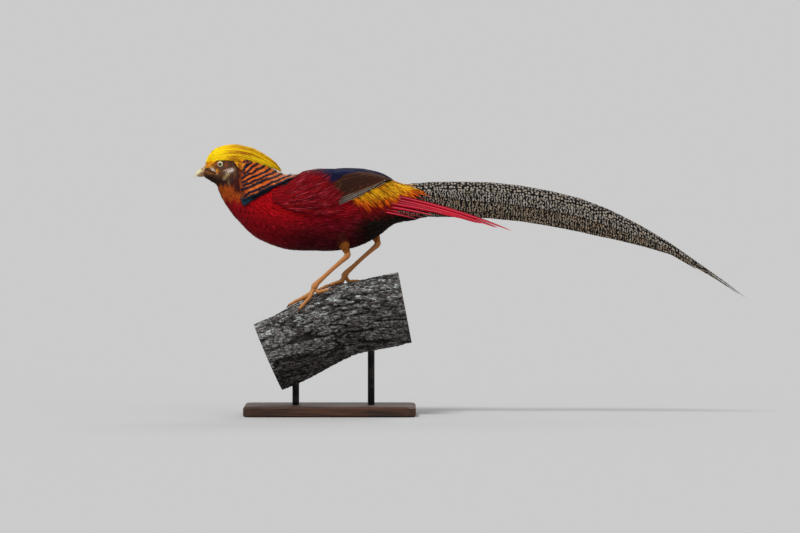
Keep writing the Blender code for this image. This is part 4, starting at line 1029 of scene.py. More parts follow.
def feather_barbs(rough, pitch_mm, gloss, clumping=0.28, slope=1.5, shaft=None):
    """A feather in the mesh's colours: fine barbs slope off the shaft and cling together in clumps."""
    def inputs(mat):
        _, aside, across, slant = feather_map(mat, slope)
        bent = plus(mat, slant, times(mat, grain(mat, object_place(mat), 3.0, 2.0), 0.12))
        barb = stripes(mat, bent, pitch_mm)
        clump = cloud(mat, vector(mat, times(mat, bent, 5.5), times(mat, aside, 0.8)), 1.6, 2.0)
        shade = ramp(mat, clump, 0.25, 0.75, 1 - clumping, 1 + 0.8 * clumping)
        base = mixed(mat, 1.0, painted(mat), grey(mat, plus(mat, shade, times(mat, barb, 0.10))), "MULTIPLY")
        height = plus(mat, times(mat, barb, 0.5), clump)
        if shaft:
            line = ramp(mat, across, 0.02, 0.045, 1.0, 0.0)
            base = mixed(mat, times(mat, line, 0.8), base, colour(shaft))
            height = plus(mat, height, times(mat, line, 2.0))
        return {"Base Color": base, "Roughness": rough, "Specular IOR Level": gloss, "Height": height}
    return inputs


def vane_grids(name, top, up, thick, marks, flat, bake, mat):
    """Closed thin vanes from the grids of their upper faces, (feathers, stations, columns, values)."""
    n, k, m = top.shape[:3]
    x = np.linspace(-1, 1, m)
    inner = (slice(None), slice(1, -1), slice(1, -1))
    under = top[inner] - up[inner] * (thick * (1 - x[1:-1] ** 4))[:, None]
    verts = np.concatenate([top.reshape(n, -1, 3), under.reshape(n, -1, 3)], axis=1)

    def both(values, dim, under_share=1.0):
        values = np.broadcast_to(values, (n, k, m, dim))
        low = values[inner].reshape(n, -1, dim) * under_share
        return np.concatenate([values.reshape(n, -1, dim), low], axis=1)

    face_top = grid_faces(k, m, False)
    inside = (k - 2) * (m - 2)
    low = np.arange(k * m).reshape(k, m)
    low[1:-1, 1:-1] = k * m + np.arange(inside).reshape(k - 2, m - 2)
    one = np.concatenate([face_top, low.reshape(-1)[face_top][:, ::-1]])
    faces = (one[None] + (np.arange(n) * (k * m + inside))[:, None, None]).reshape(-1, 4)
    rim = np.ones((k, m), bool)
    rim[1:-1, 1:-1] = False
    rim = np.concatenate([rim.ravel(), np.zeros(inside, bool)])
    maps = {"FeatherUV": both(flat, 2), "OFBake": both(bake, 2)}
    return piece(name, verts, faces, [mat], maps, both(marks, 3, 0.8), sharp=np.tile(rim, n))


def flat_map(top, mid):
    """The feather's own map in centimetres: across from the shaft, and along it."""
    n, k, m = top.shape[:3]
    steps = np.linalg.norm(np.diff(mid, axis=1), axis=2)
    run = np.concatenate([np.zeros((n, 1)), np.cumsum(steps, axis=1)], axis=1)
    half = np.linalg.norm(top[:, :, -1] - top[:, :, 0], axis=-1) / 2
    across = half[:, :, None] * np.linspace(-1, 1, m) / 10
    return np.stack([across, np.broadcast_to(run[:, :, None] / 10, (n, k, m))], -1)


def vanes(name, mid, side, up, half, thick, marks, roots, mat, columns=3, arch=0.2):
    """Feathers along frames: mid, side and up are (n, k, 3), half is (n, k)."""
    k = half.shape[1]
    x = np.linspace(-1, 1, columns)
    top = mid[:, :, None] + side[:, :, None] * (half[:, :, None] * x)[..., None]
    top = top + up[:, :, None] * (half[:, :, None] * (1 - x * x) * arch)[..., None]
    share = np.stack(np.broadcast_arrays(x * 0.5, (np.arange(k) / (k - 1) - 0.5)[:, None]), -1) * BAKE_PATCH
    bake = roots[:, None, None] + share[None]
    grown = np.broadcast_to(up[:, :, None], top.shape)
    return vane_grids(name, top, grown, thick, marks, flat_map(top, mid), bake, mat)


def vane_tones(shade, edge, middle):
    """A feather's colours at its stations, spread over its two edges and its middle."""
    return np.stack([shade * edge, shade * middle, shade * edge], 2)


def scatter(grid, shares, mask, spacing, seed):
    """Places on a surface at least spacing apart where mask holds, and where each lies on the bake map."""
    pick = np.random.default_rng(seed)
    rows, cols = grid.shape[:2]
    corners = grid.reshape(-1, 3)[grid_faces(rows, cols)]
    index = np.nonzero(mask(corners.mean(axis=1)))[0]
    one, other = corners[index, 2] - corners[index, 0], corners[index, 3] - corners[index, 1]
    area = np.linalg.norm(np.cross(one, other), axis=1) / 2
    count = int(area.sum() / spacing**2 * SCATTER_TRIES)
    chosen = index[pick.choice(len(index), count, p=area / area.sum())]
    u, v = pick.random((2, count, 1))
    c = corners[chosen]
    points = (c[:, 0] * (1 - u) + c[:, 3] * u) * (1 - v) + (c[:, 1] * (1 - u) + c[:, 2] * u) * v
    uv = np.stack([shares[chosen // cols], (chosen % cols + v[:, 0]) / cols], -1)
    beside = [(a, b, d) for a in (-1, 0, 1) for b in (-1, 0, 1) for d in (-1, 0, 1)]
    cells = {}
    kept = []
    for i, (p, key) in enumerate(zip(points, np.floor(points / spacing).astype(int).tolist())):
        near = [cells.get((key[0] + a, key[1] + b, key[2] + d)) for a, b, d in beside]
        if all(q is None or ((p - q) ** 2).sum() > spacing**2 for q in near):
            cells[tuple(key)] = p
            kept.append(i)
    return points[kept], 0.01 + 0.98 * uv[kept]


def along_surface(way, normal):
    """A way turned into the surface that has this normal."""
    return unit(way - normal * (way * normal).sum(-1, keepdims=True))


def comb(tree, start, lie, lengths, shares, lifts):
    """Stations of feathers marched over a surface from their roots, with frames that follow it."""
    here = start
    mids, ups = [], []
    for i, share in enumerate(shares):
        if i:
            here = (here + along_surface(lie(here, normal), normal)
                    * (lengths * (share - shares[i - 1]))[:, None])
        here, normal = near_points(tree, here)
        mids.append(here + normal * lifts[:, i:i + 1])
        ups.append(normal)
    return framed(np.stack(mids, 1), np.stack(ups, 1))


def framed(mid, up):
    """Middles of feathers with the ways to their sides and up, square to the way they run."""
    way = unit(np.gradient(mid, axis=1))
    side = unit(np.cross(way, up))
    return mid, side, unit(np.cross(side, way))


def rolled(side, up, angle):
    """The frames of feathers, each rolled a little about its shaft."""
    return side * np.cos(angle) + up * np.sin(angle), up * np.cos(angle) - side * np.sin(angle)


def swerved(lie, turn):
    """The way a coat lies, with each feather turned a little from it."""
    def bent(p, normal):
        way = along_surface(lie(p, normal), normal)
        return way + np.cross(normal, way) * turn[:, None]
    return bent


def body_lie(p, normal):
    """The way the coat lies: back and down the neck, back and up along the flanks, down over the rump."""
    x, z = p[:, 0], p[:, 2]
    flank = np.interp(x, LIE_X, LIE_UP_FLANK)
    belly = np.interp(x, LIE_X, LIE_UP_BELLY)
    up = belly + (flank - belly) * step(330, 365, z)
    rump = step(35, 60, x) * step(-20, 4, over_gold_edge(p))
    up = up * (1 - rump) - 0.75 * rump * step(165, 70, x) - 0.12 * rump
    return np.stack([np.interp(x, LIE_X, LIE_RIGHT), np.zeros_like(x), up], -1)


def coat(name, mask, spacing, length, width, mat, slot, seed, lift=(-0.6, 1.5, 3.1, 4.2, 4.6), tint=marking,
         grid=SKIN_GRID, tree=SKIN_TREE, lie=body_lie, spread=0.12, vary=0.16, loose=0.35, strands=0.0,
         hug=None):
    """One region of the coat, as feathers scattered where mask holds; some of them are loose strands, tinted
    pale pink as painted sheen.
    """
    roots, bake = scatter(grid, np.linspace(0, 1, len(grid)), mask, spacing, seed)
    pick = np.random.default_rng(seed + 1)
    n = len(roots)
    shares = np.array(COAT_SHARES)
    size = (length(roots) if callable(length) else length) * pick.uniform(0.85, 1.15, n)
    rise = np.array(lift)[None] * pick.uniform(0.88, 1.06, (n, 1))
    rise = rise + pick.uniform(-loose, loose, (n, 1)) * shares[None]
    if hug:
        rise = rise * hug(roots)[:, None]
    mid, side, up = comb(tree, roots, swerved(lie, pick.normal(0, spread, n)), size, shares, rise)
    side, up = rolled(side, up, pick.normal(0, COAT_ROLL, n)[:, None, None])
    # Painted sheen: a share of loose strands, thinner and lifted a little, tinted pale pink.
    pale = (pick.random(n) < strands) & (roots[:, 0] > STRAND_FRONT)
    half = width / 2 * np.array(COAT_SHAPE)[None] * pick.uniform(0.8, 1.2, (n, 1))
    half = half * np.where(pale, 0.55, 1.0)[:, None]
    mid = mid + up * (0.5 * pale[:, None] * shares)[..., None]
    shade = tint(mid) * pick.uniform(1 - vary, 1 + vary, (n, 1, 1))
    # Painted shade: every feather darker towards its root.
    shade = shade * np.array(COAT_ROOT_SHADE)[None, :, None]
    shade = shade * (1 + pale[:, None, None] * (np.array(STRAND_SHEEN_TINT) - 1))
    marks = vane_tones(shade, 0.9, SHAFT_LIGHT)
    mount(vanes(name, mid, side, up, half, COAT_THICK, marks, bake, mat), slot)


def hidden_by_cape(p):
    """Where the cape and crest cover the neck, so that the coat below needs no feathers."""
    edge = np.interp(p[:, 0], (-150, -57), (383, 424))
    return (p[:, 0] > -151) & (p[:, 2] > edge + 4) & (p[:, 0] < -57)


def hidden_by_wing(p):
    """Where the folded wing covers the body."""
    upper = np.interp(p[:, 0], (-52, -20, 58, 88), (412, 417, 417, 412))
    lower = np.interp(p[:, 0], (-52, -18, 14, 46, 76), (378, 374, 380, 394, 408))
    return (p[:, 0] > -44) & (p[:, 0] < 76) & (p[:, 2] > lower + 4) & (p[:, 2] < upper)


def on_body(p):
    """Where the coat of the body grows: below the head, and not under the cape or the wing."""
    lowest = by_x([(r[2], r[3]) for r in BODY_RINGS[:HEAD_START + 1]], p[:, 0]) - 60
    below_head = (p[:, 2] < 404 + (p[:, 0] + 201) * -0.2) | (p[:, 0] > -158)
    return below_head & ~hidden_by_cape(p) & ~hidden_by_wing(p) & (p[:, 2] > lowest) & (p[:, 0] < 172)


def gold_zone(p):
    return (p[:, 0] > 10) & (over_gold_edge(p) > -9)


# Soft, nearly matt feathers whose barbs show as fine slanting lines.
FEATHER_SOFT = surface("contour_feather", feather_barbs(0.65, 0.6, 0.07), depth_mm=0.12)
coat("breast_coat", lambda p: on_body(p) & (p[:, 0] < -40), 2.3,
     lambda p: np.interp(p[:, 0], (-200, -165, -120), (9, 13, 19)), 3.4, FEATHER_SOFT, "body_feathers",
     COAT_SEED, strands=0.07, hug=lambda p: np.interp(p[:, 0], (-200, -135), (0.42, 1.0)))
coat("flank_coat", lambda p: on_body(p) & (p[:, 0] >= -40) & ~gold_zone(p), 2.4, 25.0, 3.2, FEATHER_SOFT,
     "body_feathers", COAT_SEED + 10, strands=0.16, vary=0.25)


# Thighs
# Short tan feathers that hang down over the feathered part of each leg, to just above the bare ankle.
THIGH_AXIS = 28
THIGH_LOW = "#B0703A"
THIGH_SPOT = "#5A280F"


def thigh_tint(p):
    """Tan with small dark spots, and the dark belly colour in an arch at the top of the leg."""
    x, z = p[..., 0], p[..., 2]
    shade = mix(rgb(THIGH_LOW), rgb(THIGH_TAN), step(284, 290, z))
    spot = np.sin(1.1 * x + 0.8 * z) * np.sin(0.9 * z - 1.2 * x) + 0.5 * np.sin(2.3 * z)
    shade = mix(shade, rgb(THIGH_SPOT), step(-0.3, 0.6, spot) * 0.75)
    arch = z - thigh_shift[2] + 0.07 * (x - thigh_shift[0] - THIGH_AXIS) ** 2
    return mix(shade, rgb(BELLY_DARK), step(299, 308, arch) * 0.95)


for thigh_name, thigh_side in SIDES:
    thigh_shift = leg_shift(thigh_side)
    thigh_low = 284 + thigh_shift[2]
    coat("thigh_coat_" + thigh_name, lambda p: (p[:, 2] > thigh_low + 2) & (p[:, 2] < thigh_low + 44),
         1.7, 8.5, 2.1, FEATHER_SOFT, "thigh_feathers", COAT_SEED + 30 + thigh_side,
         (-0.3, 0.6, 1.1, 1.5, 1.7), thigh_tint, THIGH_GRIDS[thigh_name], tree_of(THIGH_GRIDS[thigh_name]),
         lambda p, normal: np.broadcast_to(np.array([0.25, 0, -1.0]), p.shape), vary=0.3, loose=0.15)


# Tail
# Long vaulted feathers in pairs, wired in a fan under the central pair. The central pair is black with
# rounded buff spots in a net; the lower ones are browner with finer wavy bars.
# The tail's roof: x, height of the ridge, height of the lower edges, half width.
TAIL_STATIONS = (
    (119, 401, 364, 20), (149, 405, 352, 21), (175, 407.5, 348, 21), (228, 408, 347.5, 21),
    (280, 407, 344, 21), (332, 401.5, 337, 20), (385, 392, 327, 19), (438, 379, 315, 18),
    (490, 359, 301, 16), (542, 332.5, 286, 14), (595, 301, 272, 11), (648, 264, 244, 8),
    (691, 233.5, 222, 5), (726, 208, 203, 1.5),
)
# x of the left and right tips, the two edges on the roof, inset under it, x of the root, place of the shaft.
TAIL_PAIRS = (
    ("central", 726, 719, -0.07, 0.70, 0.0, 128, 0.26), ("second", 716, 700, 0.30, 0.90, 1.6, 130, 0.62),
    ("third", 640, 628, 0.50, 1.0, 3.2, 132, 0.8), ("fourth", 520, 508, 0.56, 1.02, 4.8, 130, 0.84),
    ("fifth", 420, 410, 0.60, 1.02, 6.4, 128, 0.86), ("sixth", 345, 338, 0.62, 1.02, 8.0, 126, 0.88),
)
TAIL_K = 90
TAIL_M = 13
TAIL_END = 726
TAIL_THICK = 0.6
SPOT_BUFF = "#A0978E"
SPOT_DULL = "#8E8373"
SPOT_BROWN = "#86705A"
NET_BLACK = "#060505"
TAIL_SHAFT = "#33231A"


def stations(table, x):
    """The three values that a table gives for each x."""
    return [np.interp(x, [row[0] for row in table], [row[k] for row in table]) for k in (1, 2, 3)]


def tail_roof(x, share, inset):
    """Points of the tail's vaulted roof and its normals: share is 0 on the ridge and 1 at a lower edge."""
    ridge, low, wide = stations(TAIL_STATIONS, x)
    inset = inset * np.minimum(1.0, (TAIL_END - x) / 200 + 0.25)
    wide = np.maximum(wide - inset, 0.6)
    high = np.maximum(ridge - low - inset, 1.0)
    angle = share * math.pi / 2
    point = np.stack(np.broadcast_arrays(x, wide * np.sin(angle), low + high * np.cos(angle)), -1)
    normal = unit(np.stack(np.broadcast_arrays(x * 0, high * np.sin(angle), wide * np.cos(angle)), -1))
    return point, normal


def netted_vane(spot, dull, pitch_mm, spot_reach):
    """Pale spots in a black net near the shaft, drawn out into short wavy bars towards the edges."""
    def inputs(mat):
        uv, _, across, slant = feather_map(mat, 1.4)
        moved = warped(mat, uv, 1.9, 1.0, 0.36)
        spots = {"Vector": moved, "Scale": 10 / pitch_mm, "Randomness": 0.58}
        spots = add(mat, "TexVoronoi", spots, voronoi_dimensions="2D").outputs["Distance"]
        dots = ramp(mat, spots, 0.29, 0.37, 1.0, 0.0)
        drift = cloud(mat, uv, 1.5, 2.0)
        along = add(mat, "SeparateXYZ", {0: moved}).outputs[1]
        phase = plus(mat, times(mat, along, 2 * math.pi * 10 / (pitch_mm * 0.88)), times(mat, drift, 15.0))
        broken = times(mat, maths(mat, "SUBTRACT", cloud(mat, uv, 3.2, 1.0), 0.5), 5.5)
        bars = ramp(mat, plus(mat, maths(mat, "SINE", phase), broken), 0.2, 0.6)
        outer = ramp(mat, plus(mat, across, times(mat, drift, 0.5)), spot_reach, spot_reach + 0.4)
        pale = tinted(mat, colour(spot), dull, cloud(mat, uv, 0.5, 3.0), 0.35, 0.7)
        base = mixed(mat, mixed(mat, outer, dots, bars), colour(NET_BLACK), pale)
        shaft = ramp(mat, across, 0.04, 0.07, 1.0, 0.0)
        base = mixed(mat, times(mat, shaft, 0.8), base, colour(TAIL_SHAFT))
        base = mixed(mat, 1.0, base, painted(mat), "MULTIPLY")
        height = plus(mat, times(mat, stripes(mat, slant, 0.7), 0.4), times(mat, shaft, 2.5))
        return {"Base Color": base, "Roughness": 0.55, "Specular IOR Level": 0.12, "Height": height}
    return inputs


def tail_feather(side, tip, first, last, inset, root, shaft, seed):
    """One tail feather as a grid on the roof, its edges a little frayed, and its flat map."""
    pick = np.random.default_rng(seed)
    q = np.linspace(0, 1, TAIL_K) ** 0.94
    x = root + (tip - root) * q
    spread = np.minimum(1.0, 0.5 + 2.6 * q) * np.clip((1.006 - q) / 0.34, 0, 1) ** 0.62
    fray = np.convolve(pick.normal(0, 1, TAIL_K + 6), np.ones(3) / 3, "valid")[:TAIL_K] * 0.012
    notch = (pick.random(TAIL_K) < 0.06) * pick.uniform(0.03, 0.09, TAIL_K)
    left = shaft + (first - shaft) * (spread + fray - notch)
    right = shaft + (last - shaft) * (spread - fray)
    t = np.linspace(-1, 1, TAIL_M)[None]
    share = np.where(t < 0, shaft + (left[:, None] - shaft) * -t, shaft + (right[:, None] - shaft) * t)
    share = share * (1 - 0.16 * q[:, None] ** 2)
    sink = 2.6 * step(0.05, 0.0, q) + inset
    top, up = tail_roof(x[:, None], share, sink[:, None])
    top = top + up * (0.5 + 0.35 * np.exp(-((t / 0.12) ** 2)))[..., None]
    top[..., 2] -= 1.5 * step(0.93, 1.0, q)[:, None]
    mid = top[:, TAIL_M // 2]
    gap = np.linalg.norm(top - mid[:, None], axis=-1) * np.sign(t) / 10
    flat = np.stack([gap, np.broadcast_to(run_along(mid)[:, None] / 10, gap.shape)], -1)
    if side < 0:
        mirror = np.array([1, -1, 1])
        top, up, flat = (top * mirror)[:, ::-1], (up * mirror)[:, ::-1], flat[:, ::-1]
    return top, up, flat + np.array([0.0, 3.1 * seed])


# Stiff vanes with little shine: wavy brown bars here, a net of buff spots on the central pair.
BARRED_VANE = surface("barred_tail_vane", netted_vane(SPOT_DULL, SPOT_BROWN, 5.2, -0.5), depth_mm=0.12)


def build_tail():
    netted = surface("netted_tail_vane", netted_vane(SPOT_BUFF, SPOT_DULL, 5.4, 1.3), depth_mm=0.12)
    sets = {"central": [], "second": []}
    for number, (kind, tip_left, tip_right, first, last, inset, root, shaft) in enumerate(TAIL_PAIRS):
        for side, tip in ((-1, tip_left), (1, tip_right)):
            over = side > 0 and inset == 0
            shape = tail_feather(side, tip, 0.02 if over else first, last, 0.9 if over else inset, root,
                                 shaft, 2 * number + (side > 0))
            sets["central" if kind == "central" else "second"].append(shape)
    for kind, shapes in sets.items():
        top, up, flat = [np.stack([shape[i] for shape in shapes]) for i in range(3)]
        n = len(shapes)
        across = (np.arange(n)[:, None, None] + 0.08 + 0.84 * (np.linspace(0, 1, TAIL_M)[None, None])) / n
        bake = np.stack(np.broadcast_arrays(
            across, 0.01 + 0.98 * np.linspace(0, 1, TAIL_K)[None, :, None]), -1)
        marks = np.ones(top.shape) * np.linspace(0.9, 1.0, TAIL_K)[None, :, None, None]
        central = kind == "central"
        obj = vane_grids("tail_feathers_" + kind, top, up, TAIL_THICK, marks, flat, bake,
                         netted if central else BARRED_VANE)
        mount(obj, "tail_feathers", *(["tail"] if central else []))


build_tail()


# Rump and tail coverts
# Golden hair-like plumes from the rump lie down over the tail's root, fiery red where they end, and
# long pointed crimson coverts with pale shafts hang at both sides of the tail.
COVERT_CRIMSON = "#BC0C28"
COVERT_SHAFT = "#E8707C"
RUMP_DARK = "#5C0808"
RUMP_RED = "#7A2208"
RUMP_OCHRE = "#B46A08"
PLUME_RED = "#800A06"
PLUME_FLAME = "#DC5A0C"
PLUME_ORANGE = "#F08A08"
PLUME_GOLD = "#FFAE1C"
# Root x and height, tip x and height, how far out, half width.
TAIL_COVERTS = (
    (98, 381, 266, 336, 1.4, 5.4), (80, 370, 176, 351.5, 1.2, 4.6), (100, 387, 316, 322.5, 4.2, 2.7),
    (98, 382, 292, 328.0, 3.7, 2.6), (96, 377, 262, 335.5, 3.2, 2.5), (92, 373, 236, 342.5, 2.7, 2.4),
    (84, 374, 194, 354.0, 3.8, 2.5), (80, 369, 178, 350.5, 3.3, 2.4), (72, 365, 163, 346.5, 2.8, 2.3),
    (66, 361, 150, 344.0, 2.3, 2.0),
)
NETTED_COVERTS = (
    (92, 370, 236, 349.5, 0.7, 4.4), (88, 366, 212, 348.0, 0.5, 4.2), (84, 363, 190, 348.5, 0.3, 4.0),
    (80, 360, 168, 347.0, 0.1, 3.8),
)
RUMP_LIE_X = (20, 60, 100, 150, 200)
RUMP_LIE_DOWN = (1.25, 1.05, 0.85, 0.55, 0.30)
RUMP_STRANDS = 1300
RUMP_SEED = 700
ROOF_ROWS = 60
ROOF_COLUMNS = 41
COVERT_SEED = 77
COVERT_SHARES = (0, 0.08, 0.18, 0.32, 0.48, 0.64, 0.78, 0.89, 0.96, 1.0)
COVERT_SHAPE = (0.6, 0.85, 1, 1, 1, 0.9, 0.72, 0.5, 0.28, 0.04)
NETTED_SHAPE = (0.5, 0.7, 0.9, 1, 1, 1, 0.95, 0.8, 0.5, 0.1)


def rear_tree():
    """The coat and the tail's roof as one surface to lay plumes on."""
    x, share = np.meshgrid(np.linspace(121, 300, ROOF_ROWS), np.linspace(-1, 1, ROOF_COLUMNS), indexing="ij")
    roof, _ = tail_roof(x, share, np.array(0.0))
    roof_faces = grid_faces(ROOF_ROWS, ROOF_COLUMNS, False, COAT_GRID.shape[0] * COAT_GRID.shape[1])
    return tree_over([COAT_GRID, roof], [tube_faces(COAT_GRID), roof_faces[:, ::-1]])


def rump_lie(p, normal):
    """Golden plumes fall back and down from the ridge of the rump, more steeply near the wing."""
    down = np.interp(p[:, 0], RUMP_LIE_X, RUMP_LIE_DOWN)
    return np.stack([np.ones(len(p)), np.zeros(len(p)), -down], -1)


def rump_tint(p):
    edge = over_gold_edge(p)
    shade = mix(rgb(RUMP_DARK), rgb(RUMP_RED), step(-12, 4, edge))
    return mix(shade, rgb(RUMP_OCHRE), step(4, 20, edge))


REAR_TREE = rear_tree()
# Loose barbs like hair, and long smooth vanes with a pale shaft line.
PLUME = surface("hair_like_plume", feather_barbs(0.6, 0.7, 0.07), depth_mm=0.15)
LONG_PLUME = surface("long_covert_vane", feather_barbs(0.6, 0.9, 0.06, 0.34, 3.6, COVERT_SHAFT),
                     depth_mm=0.06)
coat("rump_coat", lambda p: on_body(p) & (p[:, 0] > 14) & (over_gold_edge(p) > -14) & (p[:, 0] < 152),
     2.4, 22.0, 2.4, PLUME, "body_feathers", COAT_SEED + 20, (-4.0, -2.4, -1.2, -0.4, 0.0), rump_tint,
     tree=REAR_TREE, lie=rump_lie, vary=0.2)


def rump_strands(name, mat):
    """Long narrow golden plumes over the rump, each reddening to its tip where it passes the lower edge."""
    pick = np.random.default_rng(RUMP_SEED)
    middle = COAT_GRID.reshape(-1, 3)[grid_faces(*COAT_GRID.shape[:2])].mean(axis=1)
    golden = (middle[:, 0] > 26) & (middle[:, 0] < 150) & (over_gold_edge(middle) > 3)
    keep = middle[golden & ~hidden_by_wing(middle)]
    n = RUMP_STRANDS
    roots = keep[pick.integers(0, len(keep), n)] + pick.normal(0, 0.8, (n, 3))
    size = pick.uniform(20, 34, n)
    q = np.array([0, 0.15, 0.36, 0.6, 0.82, 1.0])
    lie = swerved(rump_lie, pick.normal(0, 0.10, n))
    rise = np.array([-2.0, -0.3, 0.7, 1.3, 1.7, 1.9])[None] + pick.uniform(-0.3, 0.5, (n, 1)) * q
    mid, side, up = comb(REAR_TREE, roots, lie, size, q, rise)
    half = pick.uniform(0.45, 0.95, (n, 1)) * np.array([0.6, 1, 1, 0.85, 0.55, 0.08])[None]
    edge = over_gold_edge(mid) + pick.normal(0, 3.0, (n, 1))
    gold = mix(rgb(PLUME_ORANGE), rgb(PLUME_GOLD), pick.random((n, 1)))
    shade = mix(rgb(PLUME_RED), rgb(PLUME_FLAME), step(-10, -3, edge))
    shade = mix(shade, gold, step(1, 13, edge))
    # Painted shade: about a quarter of the strands are dimmed as if lying in shade, and every strand darkens
    # at its root and along its edges, so that dark gaps show between them.
    in_shade = pick.random((n, 1, 1)) < 0.24
    shade = shade * np.where(in_shade, pick.uniform(0.2, 0.4, (n, 1, 1)), pick.uniform(1.0, 1.7, (n, 1, 1)))
    marks = vane_tones(shade * np.array([0.6, 0.85, 1, 1, 1, 1])[None, :, None], 0.55, 1.25)
    bake = np.stack([0.02 + 0.96 * (roots[:, 0] - 20) / 140, 0.02 + 0.96 * (np.arange(n) % 97) / 97], -1)
    mount(vanes(name, mid, side, up, half, COAT_THICK, marks, bake, mat), "body_feathers")


rump_strands("rump_plumes", PLUME)


def beside(tree, x, z, side, lift):
    """Points on the side of a surface at x and z, lifted off it sideways."""
    points = np.empty((len(x), 3))
    last = 15.0
    for i, (px, pz) in enumerate(zip(x, z)):
        hit, _, _, _ = tree.ray_cast(Vector((px, side * 200, pz)), Vector((0, -side, 0)))
        if hit is not None and side * hit[1] > 8:
            last = side * hit[1]
        points[i] = (px, side * (last + lift[i]), pz)
    points[:, 1] = np.convolve(np.pad(points[:, 1], 2, "edge"), np.ones(5) / 5, "valid")
    return points


def build_coverts(name, table, shape, mat, crimson):
    """Pointed coverts beside the tail's root; each row holds root, tip, distance out and half width."""
    pick = np.random.default_rng(COVERT_SEED)
    q = np.array(COVERT_SHARES)
    mids, ups, halves, marks = [], [], [], []
    for side in (-1, 1):
        for root_x, root_z, tip_x, tip_z, out, half in table:
            start = root_x + pick.normal(0, 4)
            end = tip_x + pick.normal(0, 2)
            x = start + (end - start) * q
            z = root_z + (tip_z - root_z) * (0.62 * q + 0.38 * q * q)
            lift = np.interp(x, (start, start + 16, start + 52), (-3.0, -0.8, 1.2 + out))
            mids.append(beside(REAR_TREE, x, z, side, lift))
            ups.append(np.tile([0, side, 0.12], (len(q), 1)))
            halves.append(half * np.array(shape))
            if crimson:
                marks.append(covert_marks(q, pick.uniform(0.8, 1.2) * (0.3 if half > 4 else 1)))
            else:
                marks.append(np.ones((len(q), 7, 3)))
    mid, side, up = framed(np.array(mids), unit(np.array(ups)))
    n = len(mids)
    roots = np.stack([0.05 + 0.9 * np.arange(n) / n, np.full(n, 0.5)], -1)
    obj = vanes(name, mid, side, up, np.array(halves), 0.5, np.array(marks), roots, mat, 7, 0.06)
    mount(obj, "tail_feathers")


def covert_marks(q, bright):
    """Crimson, with painted shade darkening the root, where the rump plumes lap over it, and the upper edge,
    as a dark line between neighbouring coverts.
    """
    shade = rgb(COVERT_CRIMSON) * bright * (0.35 + 0.75 * np.minimum(1, 2.5 * q[:, None]))
    return np.stack([shade * k for k in (0.28, 0.5, 0.64, 0.88, 1.0, 1.05, 0.8)], 1)


build_coverts("netted_coverts", NETTED_COVERTS, NETTED_SHAPE, BARRED_VANE, False)
build_coverts("tail_coverts", TAIL_COVERTS, COVERT_SHAPE, LONG_PLUME, True)


# Wings
# Folded wings pinned to the body: dark blue inner feathers on top, brown-black flight feathers with
# pale edges below, and small coverts at the shoulder that the crimson flank feathers lap over.
# x and height of the folded wing's upper and lower edges.
WING_UPPER = ((-72, 389), (-62, 404), (-46, 415), (-20, 420), (20, 422), (58, 420), (88, 415), (108, 408))
WING_LOWER = ((-72, 383), (-68, 371), (-52, 364), (-18, 363), (14, 369), (46, 383), (76, 399), (106, 408))
WING_LIFT = 1.3
WING_THICK = 5.5
PAD_COLUMNS = 44
PAD_ROWS = 22
WING_SEED = 500
WING_SHARES = (0, 0.06, 0.16, 0.28, 0.42, 0.56, 0.68, 0.79, 0.88, 0.95, 1.0)
WING_SHAPE = (0.35, 0.6, 0.85, 0.96, 1.0, 1.0, 1.0, 0.96, 0.84, 0.6, 0.2)
WING_BLUE = "#050B2E"
WING_BLUE_LIGHT = "#0E1A5A"
WING_BROWN = "#34190E"
WING_RUFOUS = "#8C6850"
WING_EDGE = "#E2D8C8"
WING_SHAFT = "#1A100C"
# First and last root, first and last tip, number, half width, first and last lift, base and edge colour.
WING_TIERS = (
    ("primaries", (-6, 361), (-12, 369), (113, 417), (98, 415), 5, 2.3, 0.4, 0.9, WING_BROWN, WING_EDGE),
    ("secondaries", (-18, 370), (8, 411), (96, 410), (111, 427), 13, 4.3, 1.2, 2.6, WING_BROWN, WING_RUFOUS),
    ("coverts", (-50, 374), (-34, 400), (6, 384), (22, 402), 11, 4.4, 2.0, 2.9, WING_BROWN, WING_RUFOUS),
    ("long_scapulars", (-18, 415), (-6, 427), (58, 421), (105, 427), 7, 4.2, 3.0, 3.8,
     WING_BLUE, WING_BLUE_LIGHT),
    ("scapulars", (-50, 394), (-38, 425), (6, 403), (34, 424), 12, 4.6, 3.2, 4.2, WING_BLUE, WING_BLUE_LIGHT),
)
PLUME_COUNT = 1500
PLUME_SEED = 900
PLUME_RISE = (0, 1.6, 3.2, 4.1, 4.6, 4.8, 4.9)
PLUME_SHAPE = (0.5, 0.9, 1, 0.95, 0.75, 0.45, 0.06)
PLUME_SHEEN_PINK = "#D84A5C"


def flank_points(x, z, side):
    """Places and normals of the coat seen from the side at x and z."""
    places = np.empty((len(x), 3))
    normals = np.empty((len(x), 3))
    high = back_height(x) - 1.2
    for i, (px, pz) in enumerate(zip(x, np.minimum(z, high))):
        place, normal, _, _ = COAT_TREE.ray_cast(Vector((px, side * 300, pz)), Vector((0, -side, 0)))
        if place is None:
            place, normal, _, _ = COAT_TREE.find_nearest(Vector((px, side * 20, pz)))
        places[i], normals[i] = place, normal
    return places, normals


def wing_shell(side):
    """The inner and outer faces of a folded wing's pad."""
    cols, rows = PAD_COLUMNS, PAD_ROWS
    u = np.linspace(0, 1, cols)
    upper = smooth(WING_UPPER, u * (len(WING_UPPER) - 1))
    lower = smooth(WING_LOWER, u * (len(WING_LOWER) - 1))
    v = np.linspace(0, 1, rows)
    line = lower[:, None] + (upper - lower)[:, None] * v[None, :, None]
    place, normal = flank_points(line[..., 0].ravel(), line[..., 1].ravel(), side)
    place, normal = place.reshape(cols, rows, 3), normal.reshape(cols, rows, 3)
    swell = np.sin(math.pi * v)[None] ** 0.6 * (step(0.02, 0.4, u) * (1 - 0.6 * u))[:, None]
    lift = (WING_LIFT + 1.5 * u**4 - 2.4 * step(0.10, 0.0, u))[:, None]
    return place + normal * lift[..., None], place + normal * (lift + 0.6 + WING_THICK * swell)[..., None]


